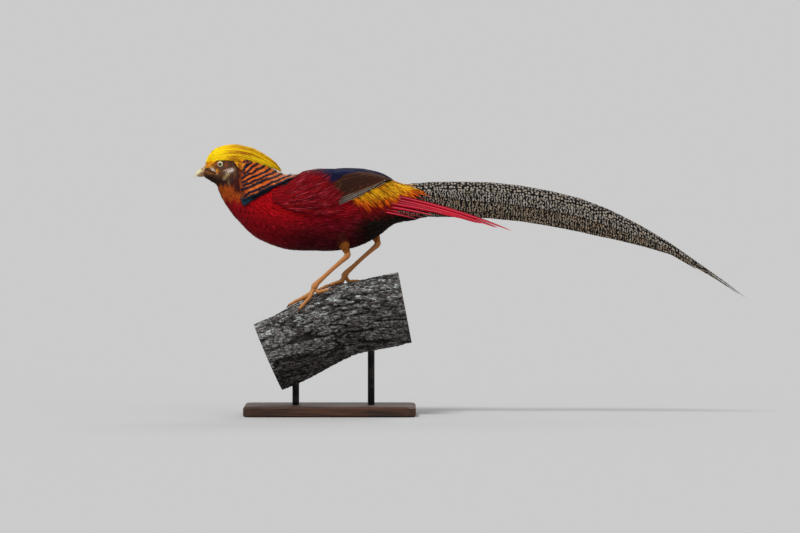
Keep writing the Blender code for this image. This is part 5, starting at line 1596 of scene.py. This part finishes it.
def shell_faces():
    """Faces that close the pad's two grids of points along their shared rim."""
    cols, rows = PAD_COLUMNS, PAD_ROWS
    top = grid_faces(cols, rows, False, cols * rows)
    low = grid_faces(cols, rows, False)[:, ::-1]
    at = np.arange(cols * rows).reshape(cols, rows)
    rim = np.concatenate([at[:-1, 0], at[-1, :-1], at[:0:-1, -1], at[0, :0:-1]])
    after = np.roll(rim, -1)
    sides = np.stack([rim, after, after + cols * rows, rim + cols * rows], -1)
    return np.concatenate([top, low, sides])


def cover_tree(side):
    """The coat with the folded wing's pad on it, as one surface to lay feathers on."""
    inner, outer = wing_shell(side)
    faces = [tube_faces(COAT_GRID), shell_faces() + COAT_GRID.shape[0] * COAT_GRID.shape[1]]
    return tree_over([COAT_GRID, inner, outer], faces), inner, outer


def draped(tree, x, z, side, lift):
    """Points over a cover, each seen from the side and raised by lift along the body's normal."""
    place, normal = flank_points(x, z, side)
    out = np.empty_like(place)
    for i in range(len(place)):
        hit, _, _, _ = tree.ray_cast(Vector(place[i] + normal[i] * 30), Vector(-normal[i]))
        high = 0.0 if hit is None else float(np.dot(np.array(hit) - place[i], normal[i]))
        out[i] = place[i] + normal[i] * (max(high, 0.3) + lift[i])
    return out, normal


def wing_feather_look(mat):
    """Stiff vanes with fine barbs, flecked dark and pale along them, dark shafts and almost no shine."""
    _, aside, across, slant = feather_map(mat, 1.6)
    barb = stripes(mat, slant, 0.6)
    fleck = cloud(mat, vector(mat, times(mat, slant, 9.0), times(mat, aside, 3.0)), 1.5, 3.0)
    shade = plus(mat, ramp(mat, fleck, 0.35, 0.65, 0.5, 1.7), times(mat, barb, 0.08))
    base = mixed(mat, 1.0, painted(mat), grey(mat, shade), "MULTIPLY")
    shaft = ramp(mat, across, 0.025, 0.05, 1.0, 0.0)
    base = mixed(mat, times(mat, shaft, 0.6), base, colour(WING_SHAFT))
    height = plus(mat, times(mat, barb, 0.4), times(mat, shaft, 2.0))
    return {"Base Color": base, "Roughness": 0.55, "Specular IOR Level": 0.06, "Height": height}


def wing_shades(pick, kind, base, edge, q, side):
    """The colours of one wing feather: a pale outer edge, and on all but the primaries a dim inner one."""
    shade = np.broadcast_to(rgb(base) * pick.uniform(0.8, 1.2), (len(q), 7, 3)).copy()
    paler = 0.95 - 0.45 * q if kind == "primaries" else np.full(len(q), 0.75)
    outer, inner = (0, -1) if side > 0 else (-1, 0)
    shade[:, outer] = mix(rgb(base), rgb(edge), paler)
    if kind != "primaries":
        shade[:, inner] = mix(rgb(base), rgb(edge), np.full(len(q), 0.3))
    return shade * (0.75 + 0.3 * q)[:, None, None]


def build_wing(name, side, mat):
    """One folded wing: tiers of feathers over a pad that gives it thickness."""
    tree, inner, outer = cover_tree(side)
    pick = np.random.default_rng(WING_SEED)
    q = np.array(WING_SHARES)
    mids, ups, halves, marks = [], [], [], []
    for kind, root_a, root_b, tip_a, tip_b, count, half, lift_a, lift_b, base, edge in WING_TIERS:
        for k in range(count):
            share = k / (count - 1)
            root = np.array(root_a) + (np.array(root_b) - np.array(root_a)) * share
            tip = (np.array(tip_a) + (np.array(tip_b) - np.array(tip_a)) * share
                   + pick.normal(0, 1.0, 2) * (1, 0.3))
            line = root + (tip - root) * q[:, None]
            bow = 2.0 * np.sin(math.pi * q) * (-1 if kind == "primaries" else 0.6)
            lift = lift_a + (lift_b - lift_a) * share + pick.uniform(-0.08, 0.08)
            rise = np.where(q < 0.1, -0.8, lift) * np.minimum(1, 0.2 + 4 * q)
            mid, up = draped(tree, line[:, 0], line[:, 1] + bow, side, rise)
            mids.append(mid)
            ups.append(up)
            halves.append(half * np.array(WING_SHAPE) * pick.uniform(0.92, 1.08))
            marks.append(wing_shades(pick, kind, base, edge, q, side))
    mid, across, up = framed(np.array(mids), np.array(ups))
    n = len(halves)
    roots = np.stack([0.02 + 0.96 * np.arange(n) / n, np.full(n, 0.5)], -1)
    halves, marks = np.array(halves), np.array(marks)
    obj = vanes("wing_feathers_" + name, mid, across, up, halves, 0.45, marks, roots, mat, 7, 0.16)
    mount(obj, "wing_feathers", "wing_" + name)
    points = np.concatenate([inner.reshape(-1, 3), outer.reshape(-1, 3)])
    shade = np.broadcast_to(rgb(WING_BROWN) * 0.6, points.shape)
    pad = piece("wing_pad_" + name, points, shell_faces()[:, ::side], [mat],
                {"FeatherUV": np.zeros((len(points), 2))}, shade)
    mount(pad, "wing_feathers")
    return tree


def flank_plumes(name, side, tree, mat):
    """Long loose crimson feathers that hide the front of the wing and sweep up over its edge."""
    pick = np.random.default_rng(PLUME_SEED)
    n = PLUME_COUNT
    x = np.sort(pick.uniform(-102, -10, n))[::-1]
    low = np.interp(x, (-102, -80, -60, -30, -10), (374, 362, 356, 352, 352))
    high = np.interp(x, (-102, -80, -66, -57, -46, -32, -20, -10), (390, 401, 408, 414, 407, 392, 378, 368))
    share = pick.random(n)
    z = low + (high - low) * share
    length = pick.uniform(20, 38, n) * np.interp(x, (-102, -70), (0.7, 1))
    slope = 0.02 + 0.78 * share * step(-105, -60, x) + pick.normal(0, 0.10, n)
    q = np.array([0, 0.12, 0.3, 0.5, 0.7, 0.86, 1.0])
    mids, ups = [], []
    for i in range(n):
        along = length[i] * q
        stand = np.interp(x[i] + along, (-92, -62, -40), (0.35, 0.75, 1.0))
        rise = np.array(PLUME_RISE) + pick.uniform(0, 1.4) * np.minimum(1, q * 3)
        rise = rise * stand - 3.0 * step(0.12, 0, q)
        mid, up = draped(tree, x[i] + along, z[i] + along * slope[i] * (1 - 0.15 * q), side, rise)
        mids.append(mid)
        ups.append(up)
    mid, across, up = framed(np.array(mids), np.array(ups))
    # Painted sheen: up to a quarter of the plumes, fewer towards the front, are thinner strands tinted pale
    # pink.
    pale = pick.random(n) < 0.24 * step(-100, -80, x)
    half = pick.uniform(0.7, 1.3, (n, 1)) * np.array(PLUME_SHAPE)[None] * np.where(pale, 0.5, 1.0)[:, None]
    shade = mix(rgb(CRIMSON), rgb(CRIMSON_DEEP), pick.random(n) ** 0.7) * pick.uniform(0.7, 1.15, (n, 1))
    shade = np.where(pale[:, None], mix(shade, rgb(PLUME_SHEEN_PINK), pick.uniform(0.3, 0.9, n)), shade)
    # Painted shade: each plume darkens towards its root, more so further back, and along both its edges, so
    # that dark gaps show between plumes.
    dim = np.interp(x, (-102, -72), (0.95, 0.45))[:, None]
    marks = vane_tones(shade[:, None] * (dim + (1.08 - dim) * q)[..., None], 0.5, 1.35)
    roots = np.stack([0.01 + 0.98 * (x + 110) / 125, 0.01 + 0.98 * (z - 340) / 90], -1)
    mount(vanes(name, mid, across, up, half, 0.3, marks, roots, mat), "body_feathers")


# Stiff flecked vanes, almost without shine.
WING_VANE = surface("wing_vane", wing_feather_look, depth_mm=0.12)
for wing_name, wing_side in SIDES:
    wing_cover = build_wing(wing_name, wing_side, WING_VANE)
    flank_plumes("flank_plumes_" + wing_name, wing_side, wing_cover, PLUME)


# Mantle and cape
# Rows of broad square-ended feathers fan from the nape over both sides of the neck, orange with
# blue-black tips that join into bars. Below them lie rounded dark green feathers whose metal sheen
# is painted on as a blue-green patch at the neck's foot.
CAPE_ORANGE = "#E2601C"
CAPE_LIGHT = "#F8853A"
CAPE_BAR = "#0A0B18"
CAPE_BAR_SHEEN = "#45405A"
CAPE_BORDER = "#4A1712"
CAPE_BEFORE_BAR = "#5E220E"
MANTLE_BLACK = "#04080A"
MANTLE_BLUE = "#0A1626"
MANTLE_PAINTED_SHEEN = "#17465A"
# Lines on which tips stand: x and height at the neck's front, then on the mid line of the back.
CAPE_LINES = (
    (-148, 375.5, -57, 417), (-150, 393, -84, 421), (-150.5, 408, -108, 428), (-150.5, 424, -131, 440),
    (-149, 437, -141, 446),
)
CAPE_ROWS = 10
CAPE_PITCH = 4.0
CAPE_SEED = 31
MANTLE_SEED = 41
WHOLE_LENGTH = 12
LINE_REACH = 2.7
LINE_POINTS = 400
LINE_HALVINGS = 34
# Stations of a feather as distances back from its tip; the last is its root.
CAPE_BACK = (0.0, 0.4, 2.0, 3.3, 3.8, 5.6, 9.5, 99)
CAPE_SHAPE = (0.5, 0.9, 1.0, 1.0, 1.0, 0.97, 0.9, 0.7)
MANTLE_BACK = (0.0, 1.2, 3.5, 7.0, 11.0, 99)
MANTLE_SHAPE = (0.5, 0.9, 1.0, 0.98, 0.8, 0.3)
# How far the cape stands off the neck, over x.
RUFF = ((-160, 1.0), (-145, 4.5), (-126, 7.0), (-104, 4.5), (-92, 1.2), (-62, 0.3), (-50, 0))
MANTLE_LINES = (
    (-149, 366, -52, 423.5), (-100, 398, -41, 425.5), (-84, 408, -31, 426.5), (-72, 413, -21, 427),
    (-66, 414, -11, 426.5), (-52, 417, 0, 427.5), (-38, 419, 12, 428.2),
)


def tip_line(front_x, front_z, mid_x, mid_z, pitch):
    """Places on the coat, a pitch apart, on a line that is straight from the side, midline to neck front."""
    a = np.linspace(0, LINE_REACH, LINE_POINTS)
    low, high = np.full(LINE_POINTS, 5.5), np.full(LINE_POINTS, 17.4)
    for _ in range(LINE_HALVINGS):
        s = (low + high) / 2
        p = body_point(s, a)
        above = (mid_x - front_x) * (p[:, 2] - front_z) - (mid_z - front_z) * (p[:, 0] - front_x) > 0
        high = np.where(above, s, high)
        low = np.where(above, low, s)
    p = body_point(low, a)
    p = p[np.cumprod(p[:, 0] > front_x).astype(bool)]
    run = run_along(p)
    count = max(2, int(run[-1] / pitch))
    at = (np.arange(count) + 0.5) / count * run[-1]
    place = np.stack([np.interp(at, run, p[:, k]) for k in range(3)], -1)
    along = unit(np.stack([np.interp(at, run, np.gradient(p[:, k], run)) for k in range(3)], -1))
    return place, along


def fan_rows(lines, lengths, widths, back, lifts, seed, pitch, ruff):
    """Feathers whose tips stand on the given lines and whose roots lie up the neck from them, both sides."""
    pick = np.random.default_rng(seed)
    mids, ups, halves, roots, ends = [], [], [], [], []
    for row, (front_x, front_z, mid_x, mid_z) in enumerate(lines):
        place, along = tip_line(front_x + 1.6 * math.sin(2.4 * row), front_z, mid_x, mid_z, pitch)
        n = len(place)
        place, normal = near_points(COAT_TREE, place)
        way = np.cross(normal, along)
        way = way * np.sign((way * np.array([0.6, 0, -0.8])).sum(-1, keepdims=True))
        way = unit(way + pick.normal(0, 0.05, (n, 1)) * along)
        size = lengths[row] * pick.uniform(0.95, 1.05, n)
        drift = np.array([wave(0.33 * k, 3.7 * row, seed) for k in range(n)])
        here = place + way * (2.6 * drift + pick.normal(0, 0.45, n))[:, None]
        stations_of, normals = [], []
        done = np.zeros(n)
        for share in back:
            distance = share if share < WHOLE_LENGTH else size
            here = here - along_surface(way, normal) * (distance - done)[:, None]
            done = np.broadcast_to(distance, (n,)).copy()
            here, normal = near_points(COAT_TREE, here)
            stand = ruff * np.interp(here[:, 0], *np.array(RUFF).T)
            stand = stand * np.interp(np.abs(here[:, 1]), (4, 22), (1.0, 0.3))
            high = lifts[row] - 0.13 * done + 0.22 * (np.arange(n) % 2) + pick.uniform(0, 0.25, n) + stand
            stations_of.append(here + normal * high[:, None])
            normals.append(normal)
        mid = np.stack(stations_of[::-1], 1)
        up = np.stack(normals[::-1], 1)
        for side in (1, -1):
            flip = np.array([1, side, 1])
            mids.append(mid * flip)
            ups.append(up * flip)
            halves.append(widths[row] / 2 * pick.uniform(0.93, 1.07, (n, 1)))
            ends.append(n - 1.0 - np.arange(n))
            aside = np.linspace(0.52, 0.98, n) if side > 0 else np.linspace(0.48, 0.02, n)
            roots.append(np.stack([aside, np.full(n, 0.04 + 0.92 * row / len(lines))], -1))
    mid, side, up = framed(np.concatenate(mids), np.concatenate(ups))
    return mid, side, up, np.concatenate(halves), np.concatenate(ends), np.concatenate(roots)


def build_cape(mat):
    """Rows of square-ended orange feathers, each with a blue-black bar near its tip."""
    s = np.linspace(0, len(CAPE_LINES) - 1, CAPE_ROWS)
    lengths = np.interp(s, (0, 4), (25, 15))
    widths = np.interp(s, (0, 4), (8.0, 5.6))
    lifts = np.interp(s, (0, 1, 4), (1.9, 2.6, 2.9))
    mid, side, up, half, ends, roots = fan_rows(smooth(CAPE_LINES, s), lengths, widths, CAPE_BACK, lifts,
                                                CAPE_SEED, CAPE_PITCH, 1.0)
    pick = np.random.default_rng(CAPE_SEED + 1)
    n = len(mid)
    tint = mix(rgb(CAPE_ORANGE), rgb(CAPE_LIGHT), pick.random(n)) * pick.uniform(0.75, 1.1, (n, 1))
    border = step(1.6, 0.0, ends + pick.uniform(-0.6, 0.6, n))
    rim = mix(rgb(CAPE_BORDER), rgb(GOLD), step(424, 432, mid[:, -1, 2]))
    tint = mix(tint, rim, border * 0.8)
    marks = np.broadcast_to(tint[:, None, None], (n, 8, 5, 3)).copy()
    marks *= np.array([0.4, 0.6, 0.85, 1.0, 1.0, 1, 1, 1])[None, :, None, None]
    marks[:, 3] = mix(tint, rgb(CAPE_BEFORE_BAR), np.full(n, 0.75))[:, None]
    marks[:, 4:7] = rgb(CAPE_BAR)
    # Painted sheen: purple-grey flecks in the middle of each bar and along its tip.
    marks[:, 5, 1:4] = mix(rgb(CAPE_BAR), rgb(CAPE_BAR_SHEEN), pick.uniform(0.0, 0.5, n))[:, None]
    marks[:, 7] = mix(rgb(CAPE_BAR), rgb(CAPE_BAR_SHEEN), pick.uniform(0.0, 0.3, n))[:, None]
    half = half * np.array(CAPE_SHAPE)[None]
    mount(vanes("cape_feathers", mid, side, up, half, 0.4, marks, roots, mat, 5, 0.16), "cape_feathers")


def build_mantle(mat):
    """Broad rounded feathers below the cape, near black with a painted blue-green sheen at the neck's foot.
    """
    count = len(MANTLE_LINES)
    lifts = np.concatenate([[1.1], np.full(count - 1, 1.3)])
    mid, side, up, half, _, roots = fan_rows(MANTLE_LINES, np.full(count, 20.0), np.full(count, 9.0),
                                             MANTLE_BACK, lifts, MANTLE_SEED, 4.8, 0.25)
    n = len(mid)
    pick = np.random.default_rng(MANTLE_SEED + 1)
    tint = mix(rgb(MANTLE_BLACK), rgb(MANTLE_BLUE), pick.random(n))
    # Painted sheen: a blue-green patch at the foot of the neck.
    gleam = step(-128, -146, mid[:, -1, 0]) * step(384, 374, mid[:, -1, 2])
    tint = mix(tint, rgb(MANTLE_PAINTED_SHEEN), gleam * pick.uniform(0.2, 0.9, n))
    marks = np.broadcast_to(tint[:, None, None], (n, 6, 5, 3)).copy()
    marks[:, :, (0, -1)] *= 0.25
    marks[:, -2:] *= 0.35
    half = half * np.array(MANTLE_SHAPE)[None]
    mount(vanes("mantle_feathers", mid, side, up, half, 0.4, marks, roots, mat, 5, 0.14), "cape_feathers")


# Smooth and slightly glossy for the mantle, whose blue-green sheen is painted on; softer and warmer for the
# cape.
build_mantle(surface("mantle_vane", feather_barbs(0.3, 0.6, 0.1), depth_mm=0.12))
build_cape(surface("cape_vane", feather_barbs(0.42, 0.7, 0.1), depth_mm=0.15))


# Face and crest
# The face has tiny close feathers, buff with silvery ear coverts and a dusky throat. From the forehead
# a thick mane of long silky golden feathers sweeps back over the nape to a loose point.
# The crest's outer form: x, height of the ridge, height of the lower edge, half width.
CREST_STATIONS = (
    (-220, 440, 435, 4), (-213, 456, 439, 9), (-206, 463, 444, 12.5), (-196, 469, 446, 15),
    (-182, 472.6, 446.5, 16.5), (-165, 474, 445, 16.5), (-152, 471.5, 443, 15.5), (-136, 468, 438, 14),
    (-119, 459.5, 427.5, 11.5), (-105, 450.5, 420.5, 9), (-94, 441.5, 417, 6.5), (-86, 431, 415.5, 4),
    (-80, 422, 414, 2),
)
CREST_LOCKS = 2000
CREST_SEED = 61
CREST_SHAPE = (0.35, 0.7, 1, 1, 1, 0.95, 0.8, 0.55, 0.3, 0.05)
CREST_GOLD = "#FFC800"
CREST_AMBER = "#A85404"
CREST_PALE = "#FFDE10"
CREST_OCHRE = "#C07C08"
EYE_PLACE = (-191.1, 438.9)


def on_face(p):
    """Where the small feathers of the face grow, with a gap for the eye and its lids."""
    eye = np.hypot(p[:, 0] - EYE_PLACE[0], p[:, 2] - EYE_PLACE[1]) < 6.6
    return (~on_body(p) & ~hidden_by_cape(p) & (p[:, 0] < -154)
            & ~(eye & (np.abs(p[:, 1]) > 5)) & (p[:, 0] > -221))


# Very short soft feathers that lie close, with hardly any relief.
FACE_FEATHER = surface("face_feather", feather_barbs(0.6, 0.5, 0.1), depth_mm=0.06)
coat("face_coat", on_face, 1.05, lambda p: np.interp(p[:, 2], (405, 425), (6.5, 3.8)), 1.25, FACE_FEATHER,
     "head_feathers", COAT_SEED + 50, (-0.25, 0.45, 0.8, 1.05, 1.2), spread=0.2, vary=0.36, loose=0.12)


def crest_place(x, turn, depth):
    """A place under the crest's outer form: turn is 0 on its ridge and a right angle at its lower edge."""
    top, low, wide = stations(CREST_STATIONS, x)
    wide = np.maximum(wide - depth, 0.3)
    high = np.maximum(top - low - depth, 0.3)
    point = np.stack([x, wide * np.sin(turn), low + high * np.cos(turn)], -1)
    normal = unit(np.stack([x * 0, high * np.sin(turn), wide * np.cos(turn) + 1e-3], -1))
    return point, normal


def build_crest(mat):
    """Locks of the crest, from roots on the forehead and crown back to a loose point over the nape."""
    pick = np.random.default_rng(CREST_SEED)
    n = CREST_LOCKS
    turn = np.radians(pick.uniform(-92, 92, n))
    level = pick.random(n)
    root = -219 + 38 * pick.random(n) ** 1.5 + 4 * np.abs(turn)
    reach = -84 - 64 * level**1.15
    edge = step(0.9, 1.45, np.abs(turn))
    tip = reach * (1 - edge) + np.minimum(reach, pick.uniform(-160, -104, n)) * edge
    tip = np.maximum(tip, root + 24)
    q = np.array([0, 0.06, 0.16, 0.3, 0.45, 0.6, 0.75, 0.88, 0.96, 1.0])
    x = root[:, None] + (tip - root)[:, None] * q
    sway = turn[:, None] * (1 - 0.08 * q) + pick.normal(0, 0.05, (n, 1)) * q
    deep = (0.15 + 3.2 * pick.random(n) ** 1.4)[:, None] * (1 - 0.45 * q) + 3.6 * step(0.12, 0.0, q)[None]
    mid, side, up = framed(*crest_place(x, sway, deep))
    side, up = rolled(side, up, pick.normal(0, 0.25, n)[:, None, None])
    half = (pick.uniform(0.5, 1.15, (n, 1)) * np.array(CREST_SHAPE)[None]
            * np.interp(x, (-150, -88), (1.0, 0.75)))
    gold = mix(rgb(CREST_GOLD), rgb(CREST_PALE), pick.random(n))
    band = np.array([wave(v * 3.2, w * 4.1, 0) for v, w in zip(turn, level)])
    ochre = step(-190, -150, x) * step(-0.1, 0.7, band + level * 0.5)[:, None]
    gold = mix(gold[:, None], rgb(CREST_OCHRE), ochre)
    streak = np.clip(step(-0.1, 0.35, band) * 0.6 + 0.35 * (pick.random(n) < 0.2), 0, 0.9)
    streak = streak[:, None] * np.interp(x, (-200, -172, -120), (0.0, 0.7, 1.0))
    # Painted shade: a darker amber patch low on the middle of the crest's side, stronger on some locks than
    # on others.
    hollow = np.exp(-(((mid[..., 0] + 167) / 12) ** 2) - ((mid[..., 2] - 449) / 5) ** 2)
    amber = np.clip(streak + 0.95 * hollow * (0.6 + 0.4 * level[:, None]), 0, 0.95)
    shade = mix(gold, rgb(CREST_AMBER), amber)
    shade = shade * (1 - 0.22 * step(-185, -140, x))[..., None] * pick.uniform(0.85, 1.12, (n, 1, 1))
    roots = np.stack([0.02 + 0.96 * (root + 216) / 60, 0.5 + 0.48 * turn / 1.62], -1)
    marks = vane_tones(shade, 0.9, 1.1)
    mount(vanes("crest_feathers", mid, side, up, half, 0.3, marks, roots, mat, 3, 0.3), "head_feathers")


# Long smooth strands with a silky sheen along them.
build_crest(surface("silky_crest_plume", feather_barbs(0.42, 4.0, 0.08, 0.12, 9.0), depth_mm=0.08))


# Studio
# A plain pale floor that runs on into an even sky of the same tone, three broad soft lights, and the
# camera at the photo's angle: level with the bird, square to its left side and far away.
FLOOR_SIZE = 60.0
SKY_TONE = 0.60
# Where each light comes from, its strength, and its spread in degrees.
LIGHTS = (
    ("key", (-0.55, -0.85, 1.5), 2.2, 16.0), ("fill", (1.2, -1.1, 0.5), 0.30, 45.0),
    ("back", (0.4, 1.2, 1.1), 0.7, 25.0),
)
VIEW_MIDDLE = (0.1225, 0.0, 0.2600)
VIEW_RISE = 1.2
VIEW_DISTANCE = 10.0
VIEW_WIDTH = 1.40
SENSOR = 36.0


def floor_paint(mat):
    """Matt paint whose lit tone equals the sky's, so that no horizon shows."""
    received = sum(power * unit(np.array(place))[2] / math.pi for _, place, power, _ in LIGHTS)
    tone = SKY_TONE / (SKY_TONE + received)
    speck = ramp(mat, grain(mat, object_place(mat), 1.5, 3.0), 0.2, 0.8, tone * 0.985, tone * 1.015)
    return {"Base Color": grey(mat, speck), "Roughness": 1.0, "Specular IOR Level": 0.0}


def build_floor():
    half = FLOOR_SIZE / MM / 2
    verts = [(-half, -half, 0), (half, -half, 0), (half, half, 0), (-half, half, 0)]
    floor = piece("studio_floor", verts, [(0, 1, 2, 3)], [surface("pale_floor", floor_paint)])


def build_light(name, place, power, spread):
    data = bpy.data.lights.new(name, "SUN")
    data.energy = power
    data.angle = math.radians(spread)
    obj = bpy.data.objects.new(name, data)
    obj.location = place
    obj.rotation_euler = Vector(place).to_track_quat("Z", "Y").to_euler()
    bpy.context.scene.collection.objects.link(obj)


def build_camera():
    data = bpy.data.cameras.new("camera")
    data.sensor_width = SENSOR
    data.lens = SENSOR * VIEW_DISTANCE / VIEW_WIDTH
    data.clip_end = 100
    obj = bpy.data.objects.new("camera", data)
    rise = math.radians(VIEW_RISE)
    obj.location = Vector(VIEW_MIDDLE) + Vector((0, -math.cos(rise), math.sin(rise))) * VIEW_DISTANCE
    obj.rotation_euler = (math.pi / 2 - rise, 0, 0)
    bpy.context.scene.collection.objects.link(obj)
    bpy.context.scene.camera = obj


def build_world():
    world = bpy.data.worlds.new("studio")
    world.use_nodes = True
    back = world.node_tree.nodes["Background"]
    back.inputs["Color"].default_value = (SKY_TONE, SKY_TONE, SKY_TONE, 1.0)
    back.inputs["Strength"].default_value = 1.0
    bpy.context.scene.world = world


build_floor()
build_world()
for light_name, light_place, light_power, light_spread in LIGHTS:
    build_light(light_name, light_place, light_power, light_spread)
build_camera()
bpy.context.scene.view_settings.view_transform = "Standard"
